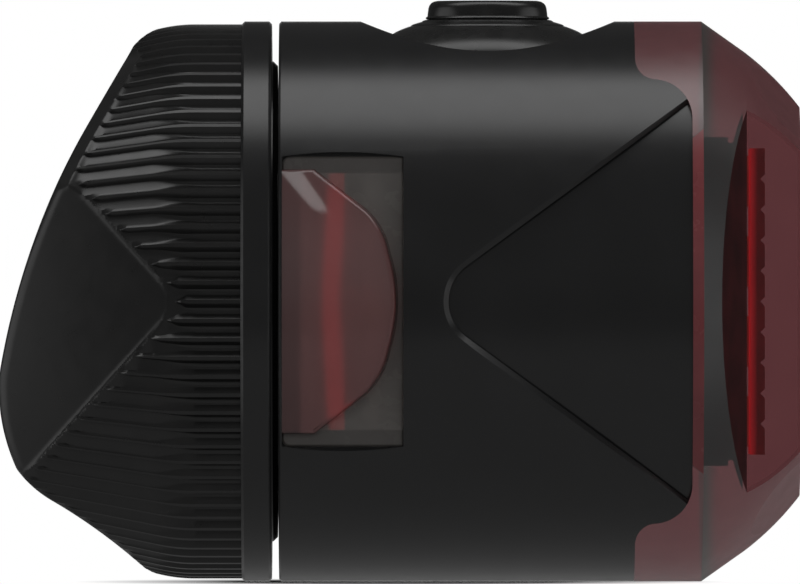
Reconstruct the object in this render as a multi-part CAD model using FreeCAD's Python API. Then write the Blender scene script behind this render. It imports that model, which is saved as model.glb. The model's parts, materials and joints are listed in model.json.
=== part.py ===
import FreeCAD, Part
import math
import os

# Round bicycle rear light on a twist-off seat-post base. Millimetres.
# +X is the optical axis towards the lens and +Z is up.
# The origin is on the saddle that seats on the post, where the optical axis meets it.

vec = FreeCAD.Vector

# Seat post, and the saddle's depth behind the ring
post_radius = 13.6
post_lean = 17.0
saddle_floor = 8.7

# Barrel: its radius and length carry most other sizes
barrel_radius = 15.4
side_length = 22.6
wall = 1.5
rear_wall = 1.2
rear_edge = 0.12

# Fluted rubber pad behind the ring, lengths measured back from the ring
pad_step = 0.16
pad_straight = 2.9
pad_bend = 1.3
pad_length = 13.6
pad_taper = 13.3
pad_rim = 0.65
flute_count = 92
flute_depth = 0.32
flute_end_depth = 0.12
flute_margin_step = 0.1
flute_grip_depth = 4.8

# Side view of the pad's rear: how far back each point lies, and how far in from the pad's radius
slope_start = 3.3
slope_middle = 4.85
slope_middle_drop = 0.34
slope_end = 5.94
slope_end_drop = 1.24
brow = 8.58
brow_drop = 5.92
belly = 11.22
belly_height = 3.55
tail = 13.23
tail_height = -4.1
tail_turn = 13.05
tail_turn_height = -6.74
chin = 12.27
chin_height = -9.16
heel_turn = 11.44
heel_turn_height = -10.09
heel = 10.26
heel_rise = 4.29
sole_middle = 8.05
sole_middle_rise = 2.84
toe = 5.34
toe_rise = 0.61
toe_turn = 4.57
toe_turn_rise = 0.21

# V shaped grip facets on the pad
pad_vee_apex = 2.86
pad_vee_half_angle = 47.9
pad_vee_radius = 2.0
pad_vee_inset = 0.55
pad_facet_middle_drop = 2.49
pad_facet_rear_drop = 5.64

# Base ring, shoulder and bayonet spigot
ring_thick = 1.65
ring_edge = 0.15
core_inset = 3.9
core_lip = 0.7
core_depth = 2.45
core_lip_thick = 0.6
shoulder_gap = 0.4
shoulder_step = 2.2
shoulder_bevel = 0.25
face_clearance = 0.07
spigot_inset = 6.4
spigot_wall = 1.6
spigot_clearance = 0.08
cup_floor = 0.25
lug_count = 3
lug_angle = 40.0
lug_height = 1.0
lug_thick = 1.1
lug_clearance = 0.12
lug_slot_margin = 3.0
twist_angle = 60.0
ring_seal_section = 0.84
ring_seal_sides = 8
ring_seal_clearance = 0.04

# Bayonet chamber behind the housing's rear wall
chamber_wall = 0.85
chamber_length = 2.2

# Joint between housing and lens, which bends forward on the sides
split_top_step = 3.1
split_middle_step = 2.1
split_upper_drop = 1.98
split_middle_drop = 3.25
split_lower_drop = 5.3
split_bend_x = 0.27
split_bend_z = 0.87
split_turn_x = 0.65
split_turn_z = 1.45

# V recess on the sides of the barrel
side_vee_apex = 7.63
side_vee_half_angle = 36.3
side_vee_radius = 2.4
side_vee_depth = 0.55
side_vee_flattening = 0.4
side_vee_bevel = 0.28

# Side windows
window_length = 6.83
window_half_height = 7.9
window_corner = 0.2
window_inner_drop = 3.4
window_flat_drop = 2.4
window_bow = 0.25
window_rear_round = 0.44
window_front_round = 0.14
window_bevel = 0.1
window_boss_draft = 0.2
window_boss_sink = 0.06
window_boss_width = 6.6
window_boss_half_height = 7.27
window_boss_shoulder = 2.03
window_boss_round = 0.3
boss_cheek_x = 1.7
boss_cheek_z = 2.17
boss_bend_x = 0.85
boss_bend_z = 3.27
boss_brow_x = 0.4
boss_brow_z = 4.57

# Button on top, heights measured from the top of the barrel
button_x = 11.45
button_opening = 7.0
button_seat = 7.5
button_boss_wall = 0.48
button_seat_drop = 2.7
button_boss_drop = 4.2
button_radius = 3.27
button_rise = 1.13
button_round = 0.38
button_neck_rise = 0.1
button_neck = 3.44
button_core = 2.9
button_core_depth = 0.9
button_stem = 1.6
button_travel = 0.5
skirt_flange = 0.65
skirt_wall = 0.7
skirt_clearance = 0.05
skirt_lip_drop = 2.35
dome_foot = 6.45
dome_foot_drop = 1.55
dome_middle = 5.3
dome_middle_drop = 0.74
dome_top = 4.35
dome_top_drop = 0.3
dome_under_top = 4.3
dome_under_top_drop = 1.1
dome_under = 5.1
dome_under_drop = 1.55
dome_under_foot = 5.9
dome_under_foot_drop = 2.2
retainer_wall = 1.3

# Push switch and its board
switch_board_gap = 1.2
switch_board_half_x = 4.6
switch_board_half_y = 8.0
switch_board_thick = 0.8
switch_size = 4.5
switch_height = 1.4
plunger_radius = 1.1
plunger_rise = 0.5
plunger_depth = 0.15
plunger_clearance = 0.05
pillar_x = 3.6
pillar_y = 7.1
pillar_radius = 0.9

# Rear cover, charging socket and main board
cover_gasket_thick = 0.3
cover_thick = 1.0
cover_joint = 0.1
ear_inset = 2.0
ear_angles = (40.0, 140.0, 270.0)
ear_radius = 1.5
main_board_gap = 0.9
main_board_thick = 1.0
main_board_inset = 1.3
main_board_side_gap = 0.4
main_board_top_gap = 0.3
board_boss_gap = 0.2
usb_width = 7.6
usb_height = 2.9
usb_length = 2.9
usb_wall = 0.3
usb_tongue = 0.7
usb_margin = 0.35

# Chips on the main board: across, up, width, height and thickness
charger_chip = (-2.5, -7.5, 3.0, 3.0, 0.8)
driver_chip = (3.0, -7.5, 3.0, 2.2, 0.6)
clock_chip = (7.2, -4.2, 2.0, 1.6, 1.0)

# Battery
battery_gap = 1.45
battery_thick = 6.2
battery_side_inset = 4.9
battery_bottom_inset = 4.2
battery_top_gap = 1.4
battery_corner = 1.0
pad_half_width = 5.0
pad_half_height = 4.0
lead_radius = 0.35
lead_gap = 0.2
battery_lead_y = 2.0
lamp_lead_z = -5.0
lamp_lead_gap = 0.5

# Front lens, each stretch measured on from the one before
lens_rim = 0.6
lens_chamfer = 2.4
lens_crown = 1.6
lens_nose = 1.4
lens_shoulder_drop = 1.7
lens_crown_drop = 3.1
lens_front_drop = 4.7
lens_tongue = 2.0
lens_tongue_drop = 2.2
lens_joint = 0.05
lens_deep_margin = 0.2
lens_wall = 1.8
notch_outer_back = 1.42
notch_outer_drop = 0.7
notch_inner_drop = 6.54
notch_front_drop = 8.47
facet_swing = 21.3
facet_back = 2.27
facet_start_drop = 2.42
facet_front_drop = 5.0
cavity_side_wall = 2.06
cavity_top_drop = 6.0

# Light engine inside the lens
carrier_step = 0.3
carrier_flange = 1.2
carrier_flange_gap = 0.1
carrier_nose_back = 4.0
carrier_wall = 1.0
carrier_side_gap = 0.3
carrier_end_gap = 0.4
carrier_flat_gap = 0.3
led_board_thick = 0.6
led_board_margin = 0.3
led_size = 2.8
led_thick = 0.6
led_end_margin = 0.7
led_count = 4
optic_gap = 0.05
optic_thick = 0.8
optic_side_margin = 2.3
optic_end_margin = 0.6
optic_ridges = 9
optic_ridge_depth = 0.25
side_boss_inset = 3.4
side_boss_radius = 1.5
side_boss_web = 1.6
side_boss_start = 9.0
lens_seal_section = 0.5
lens_seal_width = 2.7

# Small screws
screw_radius = 0.6
screw_head_radius = 1.15
carrier_head_radius = 0.96
screw_head_height = 0.6
screw_length = 2.4
small_screw_radius = 0.4
small_screw_head_radius = 0.8
small_screw_head_height = 0.45
small_screw_length = 1.5
hole_clearance = 0.08

# Side light bars
bar_start = 2.4
bar_width = 1.2
bar_thick = 0.67
bar_end_margin = 0.9
bar_clearance = 0.05
side_led_size = 1.6
side_led_thick = 0.5

# Stations and radii worked out from the sizes above
lean = math.radians(post_lean)
ring_x = saddle_floor
lamp_x = ring_x + ring_thick + shoulder_gap
far = 40.0
past = 1.0
touch = 1e-4
inner_radius = barrel_radius - wall
pad_radius = barrel_radius - pad_step
core_radius = barrel_radius - core_inset
shoulder_radius = barrel_radius - shoulder_step
spigot_radius = barrel_radius - spigot_inset
bore_radius = spigot_radius + spigot_clearance
lug_radius = spigot_radius + lug_height
chamber_radius = lug_radius + lug_clearance
spigot_end = rear_wall + lug_clearance + lug_thick
chamber_end = rear_wall + chamber_length
cover_rear = chamber_end + cover_gasket_thick
cover_front = cover_rear + cover_thick
board_rear = cover_front + main_board_gap
board_front = board_rear + main_board_thick
battery_rear = board_front + battery_gap
top_length = side_length - split_top_step
window_inner = barrel_radius - window_inner_drop
button_boss = button_seat + button_boss_wall
button_seat_top = barrel_radius - button_seat_drop
button_boss_bottom = barrel_radius - button_boss_drop
button_top = barrel_radius + button_rise
button_neck_z = barrel_radius + button_neck_rise
switch_board_top = button_boss_bottom - switch_board_gap
switch_board_bottom = switch_board_top - switch_board_thick
switch_top = switch_board_top + switch_height
retainer_inner = button_seat - retainer_wall
ear_circle = inner_radius - ear_inset
main_board_half_width = window_inner - main_board_side_gap
battery_half_width = inner_radius - battery_side_inset
battery_bottom = battery_bottom_inset - inner_radius
battery_top = switch_board_bottom - battery_top_gap
lens_cylinder = side_length + lens_rim
lens_shoulder = lens_cylinder + lens_chamfer
lens_length = lens_shoulder + lens_crown + lens_nose
lens_tongue_start = top_length - lens_tongue
lens_tongue_inner = barrel_radius - lens_tongue_drop
notch_inner_y = barrel_radius - notch_inner_drop
cavity_half_width = notch_inner_y - cavity_side_wall
cavity_half_height = barrel_radius - cavity_top_drop
carrier_rear = top_length - carrier_step
carrier_front = lens_length - carrier_nose_back
carrier_flange_radius = lens_tongue_inner - carrier_flange_gap
carrier_half_width = cavity_half_width - carrier_side_gap
carrier_half_height = cavity_half_height - carrier_end_gap
carrier_flat = button_boss_bottom - carrier_flat_gap
led_board_rear = carrier_front
led_rear = led_board_rear + led_board_thick
led_board_half_height = carrier_half_height - led_board_margin
led_pitch = 2 * (led_board_half_height - led_end_margin - led_size / 2) / (led_count - 1)
optic_rear = led_rear + led_thick + optic_gap
side_boss_y = barrel_radius - side_boss_inset
bar_outer = window_inner - bar_clearance


def block(x0, x1, y0, y1, z0, z1):
    return Part.makeBox(x1 - x0, y1 - y0, z1 - z0, vec(x0, y0, z0))


def rod(radius, x0, x1, y=0.0, z=0.0):
    return Part.makeCylinder(radius, x1 - x0, vec(x0, y, z), vec(1, 0, 0))


def post(radius, z0, z1, x=0.0, y=0.0):
    return Part.makeCylinder(radius, z1 - z0, vec(x, y, z0), vec(0, 0, 1))


def tube(outer, inner, x0, x1):
    return rod(outer, x0, x1).cut(rod(inner, x0, x1))


def arc(a, b, c):
    return Part.Arc(a, b, c).toShape()


def line(a, b):
    return Part.makeLine(a, b)


def turned(points):
    """Solid of revolution about the optical axis from a closed (x, r) outline."""
    corners = [vec(x, 0, r) for x, r in points]
    face = Part.Face(Part.makePolygon(corners + corners[:1]))
    return face.revolve(vec(0, 0, 0), vec(1, 0, 0), 360)


def turned_about_button(points):
    """Solid of revolution about the button's vertical axis from a closed (r, z) outline."""
    axis_x = lamp_x + button_x
    corners = [vec(axis_x + r, 0, z) for r, z in points]
    face = Part.Face(Part.makePolygon(corners + corners[:1]))
    return face.revolve(vec(axis_x, 0, 0), vec(0, 0, 1), 360)


def both_sides(shape):
    """A shape on the near side joined with its mirror image on the far side."""
    return shape.fuse(mirrored(shape))


def mirrored(shape):
    return shape.mirror(vec(0, 0, 0), vec(0, 1, 0))


def turned_copies(shape, count, start=0.0):
    copies = []
    for index in range(count):
        copy = shape.copy()
        copy.rotate(vec(0, 0, 0), vec(1, 0, 0), start + 360.0 * index / count)
        copies.append(copy)
    return copies


def sector(outer, inner, x0, x1, angle):
    """Part of a ring about the optical axis, centred on +Z."""
    face = Part.Face(Part.makePolygon([
        vec(x0, 0, inner), vec(x1, 0, inner), vec(x1, 0, outer), vec(x0, 0, outer), vec(x0, 0, inner)]))
    face.rotate(vec(0, 0, 0), vec(1, 0, 0), -angle / 2)
    return face.revolve(vec(0, 0, 0), vec(1, 0, 0), angle)


def circles_at(shape, direction, place):
    """The round edges of a shape whose centres lie at one place along a direction."""
    circles = [edge for edge in shape.Edges if edge.Curve.TypeId == "Part::GeomCircle"]
    return [edge for edge in circles if abs(edge.Curve.Center.dot(direction) - place) < touch]


def edges_along(shape, direction):
    """The straight edges of a shape that run along a direction."""
    lines = [edge for edge in shape.Edges if edge.Curve.TypeId == "Part::GeomLine"]
    return [edge for edge in lines if abs(edge.Curve.Direction.dot(direction)) > 1 - touch]


def edges_on_barrel(shape, radius):
    """The edges of a shape whose middles lie at a radius from the optical axis."""
    found = []
    for edge in shape.Edges:
        middle = edge.valueAt((edge.FirstParameter + edge.LastParameter) / 2)
        if abs(math.hypot(middle.y, middle.z) - radius) < touch:
            found.append(edge)
    return found


def lead(points):
    """A bent wire: straight runs with round elbows."""
    shape = None
    for start, end in zip(points, points[1:]):
        run = Part.makeCylinder(lead_radius, start.distanceToPoint(end), start, end - start)
        shape = run if shape is None else shape.fuse(run)
    for elbow in points[1:-1]:
        shape = shape.fuse(Part.makeSphere(lead_radius, elbow))
    return shape.removeSplitter()


def screw(radius, head_radius, head_height, length):
    """A pan head screw along +X whose head starts at the origin and points to -X."""
    head = rod(head_radius, -head_height, 0)
    return head.fuse(rod(radius, 0, length)).removeSplitter()


def placed(shape, x, y, z, direction):
    """Turn a shape's +X to a direction and carry its origin to a point."""
    copy = shape.copy()
    turn = FreeCAD.Rotation(vec(1, 0, 0), direction)
    copy.Placement = FreeCAD.Placement(vec(x, y, z), turn)
    return copy


def vee_wire(apex_x, direction, half_angle, radius, y, offset=0.0):
    """A V with a rounded point on a plane of constant y, opening along +X or -X."""
    half = math.radians(half_angle)
    tip_x = apex_x - direction * offset / math.sin(half)
    radius = radius + offset
    tangent = radius / math.tan(half)
    run_x = direction * math.cos(half)
    run_z = math.sin(half)
    nose = vec(tip_x + direction * (radius / math.sin(half) - radius), y, 0)
    upper = vec(tip_x + run_x * tangent, y, run_z * tangent)
    lower = vec(upper.x, y, -upper.z)
    upper_end = vec(tip_x + run_x * far, y, run_z * far)
    lower_end = vec(upper_end.x, y, -upper_end.z)
    return Part.Wire([line(upper_end, upper), arc(upper, nose, lower), line(lower, lower_end),
                      line(lower_end, upper_end)])


def flute_section(x, crest, floor):
    """Closed outline of the flutes at one station: crest, wall, floor and wall of equal width."""
    corners = []
    for index in range(4 * flute_count):
        angle = 2 * math.pi * (index + 0.5) / (4 * flute_count)
        radius = crest if index % 4 < 2 else floor
        corners.append(vec(x, radius * math.sin(angle), radius * math.cos(angle)))
    return Part.makePolygon(corners + corners[:1])


def pad_stations():
    """Stations along the pad as (distance behind the ring, crest radius, flute depth)."""
    slope = math.tan(math.radians(pad_taper))
    bend_end = pad_straight + pad_bend
    bend_drop = slope * pad_bend / 2
    end_drop = bend_drop + slope * (pad_length - bend_end)
    return [(0.0, pad_radius, flute_depth), (pad_straight, pad_radius, flute_depth),
            (bend_end, pad_radius - bend_drop, flute_depth),
            (pad_length, pad_radius - end_drop, flute_end_depth)]


def pad_side_outline(inset):
    """The pad's side view, moved forward from its slanted rear by an inset."""

    def upper(back, drop):
        return vec(ring_x + inset - back, 0, pad_radius - drop)

    def lower(back, rise):
        return vec(ring_x + inset - back, 0, rise - pad_radius)

    def middle(back, height):
        return vec(ring_x + inset - back, 0, height)

    front = vec(ring_x + far, 0, pad_radius)
    top_start = upper(slope_start, 0)
    slant_top = upper(slope_end, slope_end_drop)
    slant_end = upper(brow, brow_drop)
    bulge = middle(tail, tail_height)
    bulge_end = middle(chin, chin_height)
    heel_start = lower(heel, heel_rise)
    heel_end = lower(toe, toe_rise)
    bottom_start = lower(slope_start, 0)
    wire = Part.Wire([
        line(front, top_start),
        arc(top_start, upper(slope_middle, slope_middle_drop), slant_top),
        line(slant_top, slant_end),
        arc(slant_end, middle(belly, belly_height), bulge),
        arc(bulge, middle(tail_turn, tail_turn_height), bulge_end),
        arc(bulge_end, middle(heel_turn, heel_turn_height), heel_start),
        arc(heel_start, lower(sole_middle, sole_middle_rise), heel_end),
        arc(heel_end, lower(toe_turn, toe_turn_rise), bottom_start),
        line(bottom_start, vec(front.x, 0, -front.z)),
        line(vec(front.x, 0, -front.z), front)])
    prism = Part.Face(wire).extrude(vec(0, 2 * far, 0))
    prism.translate(vec(0, -far, 0))
    return prism


def pad_core():
    """The smooth body of the pad, just under the floors of the flutes."""
    outline = [(ring_x, 0.0)]
    for back, crest, depth in pad_stations():
        outline.append((ring_x - back, crest - depth - flute_margin_step))
    outline.append((ring_x - pad_length, 0.0))
    return turned(outline).common(pad_side_outline(0.0))


def pad_flutes():
    """The fluted grip, which stops short of the rim and of the V facets."""
    sections = []
    for back, crest, depth in pad_stations():
        sections.append(flute_section(ring_x - back, crest, crest - depth))
    grip = Part.makeLoft(sections, True, True)
    inner_rear = pad_radius - flute_grip_depth
    rear_x = ring_x - pad_length
    grip = grip.cut(turned([(ring_x, 0.0), (ring_x, core_radius), (rear_x, inner_rear), (rear_x, 0.0)]))
    grip = grip.common(pad_side_outline(pad_rim))
    wire = vee_wire(ring_x - pad_vee_apex, -1, pad_vee_half_angle, pad_vee_radius, -far)
    return grip.cut(Part.Face(wire).extrude(vec(0, 2 * far, 0)))


def pad_facet():
    """The hollow that sinks one V facet: outside a curve in plan, inside a V in side view."""
    front = vec(ring_x - pad_vee_apex, -pad_radius, -far)
    middle = vec(ring_x - (pad_vee_apex + pad_length) / 2, pad_facet_middle_drop - pad_radius, -far)
    rear = vec(ring_x - pad_length, pad_facet_rear_drop - pad_radius, -far)
    outside = Part.Wire([
        arc(front, middle, rear), line(rear, vec(rear.x, -far, -far)),
        line(vec(rear.x, -far, -far), vec(front.x, -far, -far)), line(vec(front.x, -far, -far), front)])
    wire = vee_wire(ring_x - pad_vee_apex, -1, pad_vee_half_angle, pad_vee_radius, -far, -pad_vee_inset)
    vee = Part.Face(wire).extrude(vec(0, 2 * far, 0))
    return Part.Face(outside).extrude(vec(0, 0, 2 * far)).common(vee)


def seat_post(radius):
    axis = vec(math.sin(lean), 0, math.cos(lean))
    centre = vec(-post_radius / math.cos(lean), 0, 0)
    return Part.makeCylinder(radius, 2 * far, centre - axis * far, axis)


def base_core():
    """The stub behind the ring that the rubber is moulded round."""
    stub = rod(core_radius, ring_x - core_depth, ring_x)
    lip = rod(core_radius + core_lip, ring_x - core_depth, ring_x - core_depth + core_lip_thick)
    return stub.fuse(lip)


def make_saddle_pad():
    pad = pad_core().fuse(pad_flutes())
    pad = pad.cut(both_sides(pad_facet()))
    pad = pad.cut(seat_post(post_radius))
    return pad.cut(base_core())


def make_base_plate():
    along = vec(1, 0, 0)
    ring = rod(barrel_radius, ring_x, ring_x + ring_thick)
    rims = circles_at(ring, along, ring_x) + circles_at(ring, along, ring_x + ring_thick)
    ring = ring.makeChamfer(ring_edge, rims)
    face_x = lamp_x - face_clearance
    shoulder = rod(shoulder_radius, ring_x + ring_thick / 2, face_x)
    shoulder = shoulder.makeChamfer(shoulder_bevel, circles_at(shoulder, along, face_x))
    spigot = rod(spigot_radius, ring_x + ring_thick, lamp_x + spigot_end)
    lug = sector(lug_radius, spigot_radius - spigot_wall / 2, lamp_x + rear_wall + lug_clearance,
                 lamp_x + spigot_end, lug_angle)
    plate = base_core().fuse([ring, shoulder, spigot] + turned_copies(lug, lug_count))
    plate = plate.cut(rod(spigot_radius - spigot_wall, ring_x + cup_floor, lamp_x + spigot_end))
    return plate.cut(seal_groove()).removeSplitter()


def seal_groove():
    centre_x = lamp_x + rear_wall / 2
    half = ring_seal_section / 2 + ring_seal_clearance
    groove_floor = bore_radius - ring_seal_clearance - 2 * half
    return tube(spigot_radius + past, groove_floor, centre_x - half, centre_x + half)


def make_spigot_seal():
    """Seal ring whose section is squeezed into flats between the groove and the bore."""
    section = ring_seal_section / 2
    centre_x = lamp_x + rear_wall / 2
    centre_radius = bore_radius - ring_seal_clearance - section
    outline = []
    for index in range(ring_seal_sides):
        angle = 2 * math.pi * (index + 0.5) / ring_seal_sides
        outline.append((centre_x + section * math.cos(angle), centre_radius + section * math.sin(angle)))
    return turned(outline)


def split_prism():
    """Everything behind the joint between housing and lens, which bends forward on the sides."""
    x = lamp_x
    top = vec(x + top_length, 0, barrel_radius - split_upper_drop)
    middle = vec(x + side_length - split_middle_step, 0, barrel_radius - split_middle_drop)
    side = vec(x + side_length, 0, barrel_radius - split_lower_drop)
    first = vec(top.x + split_bend_x, 0, top.z - split_bend_z)
    second = vec(side.x - split_turn_x, 0, side.z + split_turn_z)

    def down(point):
        return vec(point.x, point.y, -point.z)

    roof = vec(top.x, 0, far)
    back = vec(-far, 0, far)
    wire = Part.Wire([
        line(back, roof), line(roof, top), arc(top, first, middle), arc(middle, second, side),
        line(side, down(side)), arc(down(side), down(second), down(middle)),
        arc(down(middle), down(first), down(top)), line(down(top), down(roof)),
        line(down(roof), down(back)), line(down(back), back)])
    prism = Part.Face(wire).extrude(vec(0, 2 * far, 0))
    prism.translate(vec(0, -far, 0))
    return prism


def side_vee():
    """Outline of the V recess in side view."""
    return vee_wire(lamp_x + side_vee_apex, 1, side_vee_half_angle, side_vee_radius, -far)


def side_recess():
    """V recess on the near side, whose floor is a little flatter than the barrel."""
    floor_radius = barrel_radius + side_vee_flattening
    centre_y = side_vee_depth + side_vee_flattening
    return Part.Face(side_vee()).extrude(vec(0, far, 0)).cut(rod(floor_radius, -far, 3 * far, centre_y))


def recess_rim(body):
    """Edges where the walls of the V recesses leave the barrel's surface."""
    wall = side_vee().extrude(vec(0, 2 * far, 0))
    rim = []
    for edge in edges_on_barrel(body, barrel_radius):
        middle = edge.valueAt((edge.FirstParameter + edge.LastParameter) / 2)
        if Part.Vertex(middle).distToShape(wall)[0] < touch:
            rim.append(edge)
    return rim


def window_opening():
    """Opening for the near side window, bowed above and below it."""
    x0 = lamp_x + window_corner
    x1 = lamp_x + window_length
    top = window_half_height + window_bow

    def point(x, z):
        return vec(x, -far, z)

    rear_top = point(x0, window_half_height)
    rear_bottom = point(x0, -window_half_height)
    front_top = point(x1, window_half_height)
    front_bottom = point(x1, -window_half_height)
    wire = Part.Wire([
        line(rear_bottom, rear_top), arc(rear_top, point((x0 + x1) / 2, top), front_top),
        line(front_top, front_bottom), arc(front_bottom, point((x0 + x1) / 2, -top), rear_bottom)])
    return Part.Face(wire).extrude(vec(0, far - window_inner, 0))


def window_boss():
    """Raised lens of the window in side view: flat rear, bevelled shoulders and a bowed front."""
    x = lamp_x + window_corner

    def outline(y, offset):
        half = window_boss_half_height + offset
        nose = lamp_x + window_boss_width + offset
        top_rear = vec(x, y, half)
        shoulder = vec(lamp_x + window_boss_shoulder + offset, y, half)
        cheek = vec(nose - boss_cheek_x, y, half - boss_cheek_z)
        brow_end = vec(nose - boss_brow_x, y, half - boss_brow_z)
        cheek_bend = vec(nose - boss_bend_x, y, half - boss_bend_z)

        def down(point):
            return vec(point.x, point.y, -point.z)

        return Part.Wire([
            line(top_rear, shoulder), line(shoulder, cheek), arc(cheek, cheek_bend, brow_end),
            arc(brow_end, vec(nose, y, 0), down(brow_end)),
            arc(down(brow_end), down(cheek_bend), down(cheek)),
            line(down(cheek), down(shoulder)), line(down(shoulder), down(top_rear)),
            line(down(top_rear), top_rear)])

    root = outline(-window_inner, 0.0)
    crest = outline(-barrel_radius, -window_boss_draft)
    crest_radius = barrel_radius - window_boss_sink
    boss = Part.makeLoft([root, crest], True, True).common(rod(crest_radius, 0, 3 * far))
    rim = [edge for edge in edges_on_barrel(boss, crest_radius) if edge.CenterOfMass.x > x + touch]
    return boss.makeFillet(window_boss_round, rim)


def make_side_window():
    """Window on the near side: a flat pane with rounded corners, and a raised lens flush with the barrel."""
    x0 = lamp_x + window_corner
    x1 = lamp_x + window_length
    face_y = window_flat_drop - barrel_radius
    pane = block(x0, x1, face_y, -window_inner, -window_half_height, window_half_height)
    rear_corners = [edge for edge in edges_along(pane, vec(0, 1, 0)) if edge.CenterOfMass.x < x0 + touch]
    pane = pane.makeFillet(window_rear_round, rear_corners)
    front_corners = [edge for edge in edges_along(pane, vec(0, 1, 0)) if edge.CenterOfMass.x > x1 - touch]
    pane = pane.makeFillet(window_front_round, front_corners)
    rim = [edge for edge in pane.Edges if edge.BoundBox.YMax < face_y + touch]
    return pane.makeChamfer(window_bevel, rim).fuse(window_boss()).removeSplitter()


def ear_positions():
    positions = []
    for angle in ear_angles:
        turn = math.radians(angle)
        positions.append((ear_circle * math.cos(turn), ear_circle * math.sin(turn)))
    return positions


def pillar_positions():
    return [(lamp_x + button_x + sx * pillar_x, sy * pillar_y) for sx in (-1, 1) for sy in (-1, 1)]


def side_bosses():
    """Screw bosses of the light carrier, each joined to the barrel wall by a web."""
    x = lamp_x
    near = rod(side_boss_radius, x + side_boss_start, x + carrier_rear, -side_boss_y)
    near = near.common(rod(lens_tongue_inner - lens_joint, x, x + lens_length))
    web = block(x + side_boss_start, x + lens_tongue_start - lens_joint, -barrel_radius, -side_boss_y,
                -side_boss_web / 2, side_boss_web / 2)
    near = near.fuse(web.common(rod(barrel_radius - wall / 2, x, x + lens_length)))
    return [near, mirrored(near)]


def make_housing():
    x = lamp_x
    barrel = rod(barrel_radius, x, x + lens_length)
    barrel = barrel.makeChamfer(rear_edge, circles_at(barrel, vec(1, 0, 0), x))
    barrel = barrel.cut(rod(inner_radius, x + rear_wall, x + lens_length))
    barrel = barrel.common(split_prism()).cut(both_sides(side_recess()))
    barrel = barrel.makeChamfer(side_vee_bevel, recess_rim(barrel))
    chamber = rod(chamber_radius + chamber_wall, x + rear_wall / 2, x + chamber_end)
    ears = [rod(ear_radius, x + rear_wall / 2, x + cover_rear, y, z) for y, z in ear_positions()]
    boss = post(button_boss, button_boss_bottom, barrel_radius, x + button_x)
    boss = boss.common(rod(barrel_radius - wall / 2, x, x + lens_length))
    pillars = [post(pillar_radius, switch_board_top, button_boss_bottom + wall, px, py)
               for px, py in pillar_positions()]
    housing = barrel.fuse([chamber, boss] + ears + pillars + side_bosses())
    housing = housing.cut(rod(bore_radius, x - past, x + rear_wall + past))
    housing = housing.cut(rod(chamber_radius, x + rear_wall, x + chamber_end + past))
    slot_angle = lug_angle + 2 * lug_slot_margin
    slot = sector(chamber_radius, bore_radius - past, x - past, x + rear_wall + past, slot_angle)
    housing = housing.cut(turned_copies(slot, lug_count, -twist_angle))
    housing = housing.cut(post(button_opening, button_boss_bottom, far, x + button_x))
    housing = housing.cut(post(button_seat, 0, button_seat_top, x + button_x).common(
        post(button_seat, button_boss_bottom, far, x + button_x)))
    housing = housing.cut(both_sides(window_opening()))
    for y, z in ear_positions():
        housing = housing.cut(rod(screw_radius, x + chamber_end - screw_length, x + cover_rear, y, z))
    for y in (-side_boss_y, side_boss_y):
        housing = housing.cut(rod(screw_radius, x + carrier_rear - screw_length, x + carrier_rear, y))
    screw_top = switch_board_top + small_screw_length
    for px, py in pillar_positions():
        housing = housing.cut(post(small_screw_radius, switch_board_top, screw_top, px, py))
    return housing.removeSplitter()


def make_rear_cover():
    x = lamp_x
    disc = rod(chamber_radius + chamber_wall, x + cover_rear, x + cover_front)
    ears = [rod(ear_radius, x + cover_rear, x + cover_front, y, z) for y, z in ear_positions()]
    cover = disc.fuse(ears)
    half_w = usb_width / 2 + usb_margin
    half_h = usb_height / 2 + usb_margin
    cover = cover.cut(block(x, x + far, -half_w, half_w, -half_h, half_h))
    for y, z in ear_positions():
        cover = cover.cut(rod(screw_radius + hole_clearance, x, x + far, y, z))
    inner = window_inner - cover_joint
    return cover.common(block(0, 3 * far, -inner, inner, -far, far)).removeSplitter()


def make_cover_gasket():
    x0 = lamp_x + chamber_end
    x1 = lamp_x + cover_rear
    ring = tube(chamber_radius + chamber_wall, chamber_radius + hole_clearance, x0, x1)
    return ring.cut([rod(ear_radius + hole_clearance, x0, x1, y, z) for y, z in ear_positions()])


def make_cover_screws():
    one = screw(screw_radius, screw_head_radius, screw_head_height, screw_length)
    x = lamp_x + cover_front
    return Part.makeCompound([placed(one, x, y, z, vec(-1, 0, 0)) for y, z in ear_positions()])


def make_main_board():
    x = lamp_x
    board = rod(inner_radius - main_board_inset, x + board_rear, x + board_front)
    half = main_board_half_width
    board = board.common(block(0, 3 * far, -half, half, -far, switch_board_bottom - main_board_top_gap))
    for y in (-side_boss_y, side_boss_y):
        board = board.cut(rod(side_boss_radius + board_boss_gap, x, x + far, y))
    return board


def make_usb_socket():
    """Charging socket: folded metal shell with its contact tongue."""
    x0 = lamp_x + board_rear - usb_length
    x1 = lamp_x + board_rear
    half_w = usb_width / 2
    half_h = usb_height / 2
    shell = block(x0, x1, -half_w, half_w, -half_h, half_h)
    shell = shell.makeFillet(usb_height / 4, edges_along(shell, vec(1, 0, 0)))
    inner_w = half_w - usb_wall
    inner_h = half_h - usb_wall
    hollow = block(x0 - past, x1 - usb_wall, -inner_w, inner_w, -inner_h, inner_h)
    tongue = block(x0 + 2 * usb_wall, x1 - usb_wall / 2, -half_w + 4 * usb_wall, half_w - 4 * usb_wall,
                   -usb_tongue / 2, usb_tongue / 2)
    return shell.cut(hollow).fuse(tongue).removeSplitter()


def make_board_chips():
    """Charge controller and driver on the front of the main board."""
    x = lamp_x + board_front
    chips = []
    for across, up, width, height, thick in (charger_chip, driver_chip, clock_chip):
        left = across - width / 2
        bottom = up - height / 2
        chips.append(block(x, x + thick, left, left + width, bottom, bottom + height))
    return Part.makeCompound(chips)


def make_battery_pad():
    return block(lamp_x + board_front, lamp_x + battery_rear, -pad_half_width, pad_half_width,
                 -pad_half_height, pad_half_height)


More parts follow.
